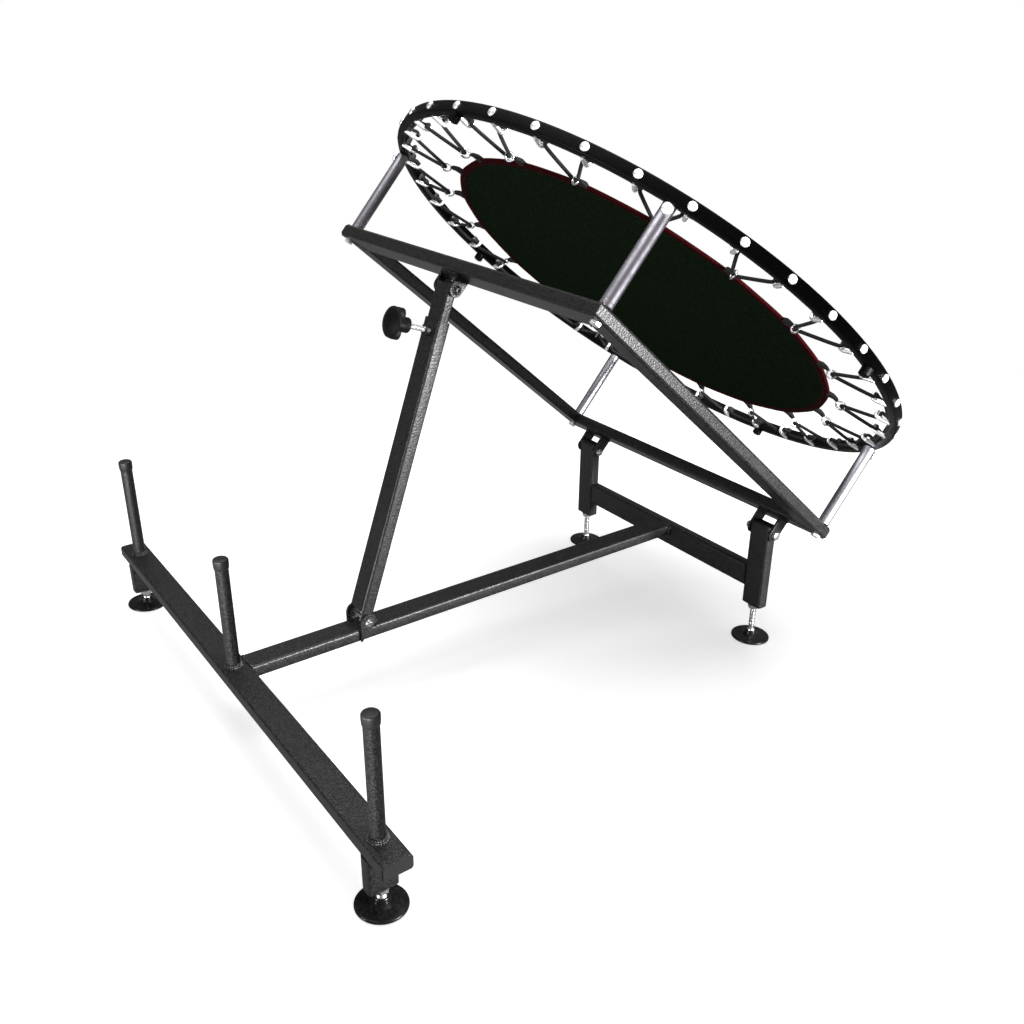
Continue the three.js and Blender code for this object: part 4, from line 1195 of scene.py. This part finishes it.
def along_tape(spot, face):
    angle = atan2(spot.y, spot.x)
    if angle < -pi + 0.05 and face.calc_center_median().y > 0:
        angle += full_turn
    return angle * mat_radius, hypot(spot.x, spot.y)


bm = bmesh.new()
add_turned(bm, [(tape_reach(radius), height) for radius, height in tape_section], tape_steps,
           closed=True)
give_uv(bm, along_tape)
finished("mat_binding_tape", bm, tape, "tilt_frame", ring_place, ["mat_binding"],
         sharp=50)
print("tape:", tape_width, "mm wide")

# %% [markdown]
# Where the cord pulls, a webbing tab is sewn under the tape and holds an eye, through which the
# cord turns back. Two rows of short stitches run round the tape, above and below.

# %% Tabs, eyes and stitches
eye_reach = 24
eye_hole = 4.4
eye_wire = 1.5
eye_stretch = 1.45
tab_width = 13
stitch_count = 560
stitch_height = 2.45
stitch_line = mat_radius - 8.4

bm = bmesh.new()
tab_line = [(-7, 0.2), (-2, 2.9), (6, 2.6), (11, 1.0), (14.5, -0.5), (16.5, -2.4), (15.6, -4.6),
            (13.0, -4.6), (8, -3.0), (2, -2.9), (-3, -2.9), (-7, -1.2)]
layers = []
for y_share, narrow in ((-1, 0.94), (-0.9, 1), (0.9, 1), (1, 0.94)):
    layer = []
    for x, z in tab_line:
        taper = 1 - 0.35 * max(0, min(1, (x - 6) / 10))
        layer.append(bm.verts.new((x, y_share * tab_width / 2 * taper, z * narrow)))
    layers.append(layer)
add_rings(bm, layers)
bm.faces.new(layers[0])
bm.faces.new(list(reversed(layers[-1])))
bmesh.ops.recalc_face_normals(bm, faces=bm.faces)
give_uv(bm, lambda spot, face: (spot.x, spot.y + spot.z))
round_the_ring("mat_tabs", bm, lace_count, mat_radius, 0, lace_start, webbing,
               sharp=45)

bm = bmesh.new()
eye_line = []
for i in range(28):
    angle = full_turn * i / 28
    x = (eye_hole + eye_wire) * cos(angle)
    eye_line.append(Vector((x * eye_stretch if x < 0 else x, 0,
                            (eye_hole + eye_wire) * sin(angle))))
eye_lean = Matrix.Rotation(atan2(lace_drop, eye_reach), 4, "Y")
add_tube(bm, eye_line, eye_wire, 8, closed=True, place=at(eye_reach, 0, -lace_drop, eye_lean))
round_the_ring("mat_eyes", bm, lace_count, mat_radius, 0, lace_start, zinc, sharp=60)

for row_name, height in (("top", stitch_height), ("under", -stitch_height)):
    bm = bmesh.new()
    add_turned(bm, [(0, -1.25), (0.35, -1.1), (0.42, 0), (0.35, 1.1), (0, 1.25)], 6, turn_x)
    round_the_ring(f"binding_stitches_{row_name}", bm, stitch_count, stitch_line, height, 0.0,
                   webbing)
print("tabs:", lace_count)

# %% [markdown]
# ## Shock cord
# One elastic cord laces the mat to the ring. It runs over a hook, down to an eye, back up over
# the next hook and along the ring to the one after. The line repeats the lacing of the solid
# model, a smooth curve goes through its points, and a braided cover follows its length. Under
# tension the cord is a little thinner than the route was laid out for.

# %% Shock cord
cord_radius = 3
cord_shown = 2.6
cord_gap = 0.35
cord_turn = 5.4
hook_radius = 3.5
hook_lip = 4
running_gap = 0.5
apex_radius = mat_radius + eye_reach


def lacing_points():
    wrap = hook_radius + cord_radius + cord_gap
    hook_middle = ring_inside - hook_reach + hook_lip
    turn_centre = apex_radius + cord_turn
    leg_angle = atan2(hook_middle * sin(fixing_pitch / 2) - wrap - cord_turn,
                      hook_middle - turn_centre)
    over_hook = [
        (ring_inside - cord_radius - running_gap, -2 * wrap, lace_drop / 2),
        (hook_middle + cord_radius, -2 * hook_radius, wrap),
        (hook_middle, 2 * hook_radius - cord_radius / 2, wrap),
        (hook_middle - cord_radius / 2, wrap, cord_radius / 2),
    ]
    foot = []
    turn_steps = 3
    for i in range(turn_steps):
        angle = leg_angle + (pi / 2 - leg_angle) * i / turn_steps
        foot.append((turn_centre - cord_turn * sin(angle), -cord_turn * cos(angle), 0))
    points = []
    for i in range(lace_count):
        middle = lace_start + i * lace_pitch
        down = [(r, middle - fixing_pitch / 2 + aside / r, z) for r, aside, z in over_hook]
        down += [(r, middle + aside / r, z) for r, aside, z in foot]
        up = [(r, 2 * middle - angle, z) for r, angle, z in reversed(down)]
        for r, angle, z in down + [(apex_radius, middle, 0)] + up:
            points.append(Vector((r * cos(angle), r * sin(angle), z - lace_drop)))
    return points


bm = bmesh.new()
cord_line = smooth_line(lacing_points(), True, 2.6)
cord_length = add_tube(bm, cord_line, cord_shown, closed=True)
finished("shock_cord_braided", bm, braid, "tilt_frame", ring_place, ["shock_cord"],
         sharp=80)
print("cord length:", round(cord_length), "mm")

# %% [markdown]
# ## Lock knob
# A screw through a boss on the sleeve clamps the inner tube. Its knob is a moulded star with five
# round lobes under a shallow round dome. The outline of the lobes comes from one formula, and
# each layer draws it in a little further, so that every edge is rounded the same.

# %% Knob and lock screw
sleeve_short, lock_drop = 47.5, 17
lock_height = strut_length - sleeve_short - lock_drop
strut_forward = 3
sleeve_front = -strut_forward - tube_thin / 2
boss_height = 8
inner_thin = 15
lock_radius = 3.5
lock_pitch = 1.25
knob_bore = 4.3
knob_stand_off = 28
knob_radius = 23.5
knob_waist = 14.8
knob_lobes = 5
knob_hub = 11
knob_edge = 3.2
hub_edge = 1.6
lobe_thick = 14.5
hub_length = 14
outline_steps = 120


def star(inset):
    """The outline of the lobes, drawn in by inset."""
    def reach(angle):
        wave = (1 + cos(knob_lobes * angle)) / 2
        return max(knob_waist + (knob_radius - knob_waist) * wave ** 0.55 - inset, 0.2)
    return reach


bm = bmesh.new()
rounding = arc(knob_edge, knob_edge, knob_edge, -pi / 2, 5, -pi / 2)
layers = [(0, 0), (star(9), 0), (star(knob_edge), 0)]
layers += [(star(inset), height) for inset, height in rounding[1:]]
layers += [(star(inset), lobe_thick - height) for height, inset in rounding]
layers += [(star(7), lobe_thick + 0.3), (0, lobe_thick + 0.4)]
add_turned(bm, layers, outline_steps)
dome = [(0, 10.5), (21.0, 10.5), (22.2, 11.3), (22.5, 12.6), (22.0, 14.0), (19.8, 15.6),
        (15, 17.7), (8.4, 19.8), (8.0, 19.0), (7.4, 19.0), (7.0, 20.0), (3.5, 20.5), (0, 20.6)]
add_turned(bm, dome, 64)
hub = [(knob_bore, -hub_length), (knob_hub - 2, -hub_length)]
hub += arc(knob_hub - hub_edge, -hub_length + hub_edge, hub_edge, -pi / 2)
hub += [(knob_hub, -4), (knob_hub + 2.2, 1.5), (knob_bore, 1.5)]
add_turned(bm, hub, 48, closed=True)
bmesh.ops.recalc_face_normals(bm, faces=bm.faces)
knob_y = sleeve_front - boss_height - knob_stand_off - hub_length
finished("knob_moulded", bm, matt, "lock", strut_place @ at(0, knob_y, lock_height, turn_x),
         ["lock_knob"], sharp=45)

bm = bmesh.new()
tip = -strut_forward - inner_thin / 2 - bolt_gap
screw_run = tip - knob_y
add_turned(bm, [(0, 0), (2.8, 0), (lock_radius, 0.8), (lock_radius, screw_run - 1),
                (0, screw_run - 1)], 24)
add_thread(bm, lock_radius, lock_pitch, screw_run - 16, 0.45, at(0, 0, 1), zinc)
finished("lock_screw_threaded", bm, zinc, "lock", strut_place @ at(0, tip, lock_height, turn_x),
         ["lock_screw"])
print("lock screw:", round(screw_run, 1), "mm long")

# %% [markdown]
# ## Welds
# Steel meets steel at a bead of weld: small overlapping scales along the joint. The joints are
# drawn as lines, and a geometry tree sets one scale at every few millimetres, each turned along
# the line and a little different in size, and the coat covers them.

# %% A tree for beads along a line
tree, given = new_tree("Geometry", "beads along a line", {
    "Geometry": "Geometry", "Spacing": "Float", "Radius": "Float", "Seed": "Int",
    "Finish": "Material"})
curve = add_node(tree, "MeshToCurve", {"Mesh": given["Geometry"]})
steps_on = add_node(tree, "CurveToPoints", {"Curve": curve, "Length": given["Spacing"]},
                    mode="LENGTH")
bead = add_node(tree, "MeshUVSphere", {"Segments": 8, "Rings": 5, "Radius": given["Radius"]})
uneven = add_node(tree, "RandomValue", {"Min": (0.85, 0.85, 0.55), "Max": (1.2, 1.2, 0.75),
                                        "Seed": given["Seed"]}, data_type="FLOAT_VECTOR")
beads = add_node(tree, "InstanceOnPoints", {
    "Points": steps_on, "Instance": bead, "Rotation": steps_on.outputs["Rotation"],
    "Scale": uneven})
bead_tree = end_tree(tree, beads, given["Finish"], smooth=True)


def line_mesh(name, place, lines):
    """Lines in millimetres of one place; a line of more than two points is closed."""
    corners, edges = [], []
    for points in lines:
        first = len(corners)
        corners += [place @ Vector(p) for p in points]
        edges += [(first + i, first + i + 1) for i in range(len(points) - 1)]
        if len(points) > 2:
            edges.append((len(corners) - 1, first))
    mesh = bpy.data.meshes.new(name)
    mesh.from_pydata(corners, edges, [])
    return mesh


print("bead tree:", len(bead_tree.nodes), "nodes")

# %% [markdown]
# The lines follow the joints that a welder would reach: round the pegs, at both ends of the
# centre beam and of the rear beam, over the legs and lugs, across the mitres of the frame, along
# the brackets and round the boss of the lock screw.

# %% Weld lines
rear_front = hinge_y - tube_thin / 2
rear_back = rear_front + tube_thin
upright_inner = upright_x - half_wide
weld_in = 16
mitre_in = 3
edge_in = 4
corner_in = 1.2
lug_ends = (212, 238)
hinge_half, bracket_half, bracket_deep = 22, 19, 12
boss_round = 8.8
base_lines, corner_lines, peg_lines, frame_lines = [], [], [], []


def circle_points(radius, spot, steps=24):
    """A closed line; spot gives the point for each pair of distances from its middle."""
    angles = [full_turn * i / steps for i in range(steps)]
    return [spot(radius * cos(a), radius * sin(a)) for a in angles]


for x in (-peg_reach, 0, peg_reach):
    for off, height in ((1.6, 0.4), (0.7, 3.2)):
        peg_lines.append(circle_points(
            peg_radius + off, lambda a, b: (x + a, half_wide + b, tube_thin + height)))
for y in (tube_wide, rear_front):
    base_lines.append([(-weld_in, y, tube_thin - 0.2), (weld_in, y, tube_thin - 0.2)])
for sign in (-1, 1):
    x = sign * half_wide
    base_lines.append([(x, tube_wide, 3), (x, tube_wide, tube_thin - edge_in)])
    x, y = x + sign * corner_in, rear_front - corner_in
    corner_lines.append([(x, y, 3), (x, y, tube_thin - 2)])
for sign in (-1, 1):
    x = sign * upright_inner
    for y in (rear_front, rear_back):
        base_lines.append([(x, y, -weld_in), (x, y, weld_in)])
    base_lines.append([(x, rear_front + edge_in, tube_thin), (x, rear_back - edge_in, tube_thin)])
    for x in (sign * peg_reach - tube_thin / 2, sign * peg_reach + tube_thin / 2):
        base_lines.append([(x, edge_in, 0), (x, tube_wide - edge_in, 0)])
    base_lines.append([(sign * half_wide, y, tube_thin - 0.5) for y in lug_ends])

rail_x = post_x + post_radius
for sign in (-1, 1):
    for end, way in ((-rail_span, -1), (0, 1)):
        run = way * (half_wide - mitre_in)
        outer = (sign * (rail_x - mitre_in), end + run)
        inner = (sign * (rail_x - tube_wide + mitre_in), end - run)
        for height in (rail_bottom, rail_top):
            frame_lines.append([(*outer, height), (*inner, height)])
    for y in (-weld_in, weld_in):
        frame_lines.append([(sign * upright_x + x, y, rail_bottom)
                            for x in (-hinge_half, hinge_half)])
for y in (-bracket_deep, bracket_deep):
    frame_lines.append([(x, y - rail_span, rail_bottom) for x in (-bracket_half, bracket_half)])
boss_line = circle_points(boss_round, lambda a, b: (a, sleeve_front, lock_height + b))

for name, place, lines, body, seed, radius, spacing in (
        ("base_welds", base_place, base_lines, "base", 3, 2.0, 2.6),
        ("peg_welds", base_place, peg_lines, "base", 11, 2.7, 2.8),
        ("corner_welds", base_place, corner_lines, "base", 13, 3.4, 2.6),
        ("frame_welds", frame_place, frame_lines, "tilt_frame", 5, 1.5, 2.2),
        ("boss_weld", strut_place, [boss_line], "strut_outer", 7, 1.4, 2.0)):
    beads = grown_mesh(name, bead_tree, line_mesh(f"{name} lines", place, lines),
                       Spacing=spacing * mm, Radius=radius * mm, Seed=seed, Finish=coat)
    set_out(name, beads, body)
    print(name, "along", len(lines), "lines")

# %% [markdown]
# ## Sizes
# The box of the solids and the box of the finished scene are written side by side, so that the
# two can be compared after each render.

# %% Sizes and the end
box_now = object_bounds()
for name, low, high in (("solids", *cad_box), ("scene", *box_now)):
    print(name, [round(v, 4) for v in low], [round(v, 4) for v in high])
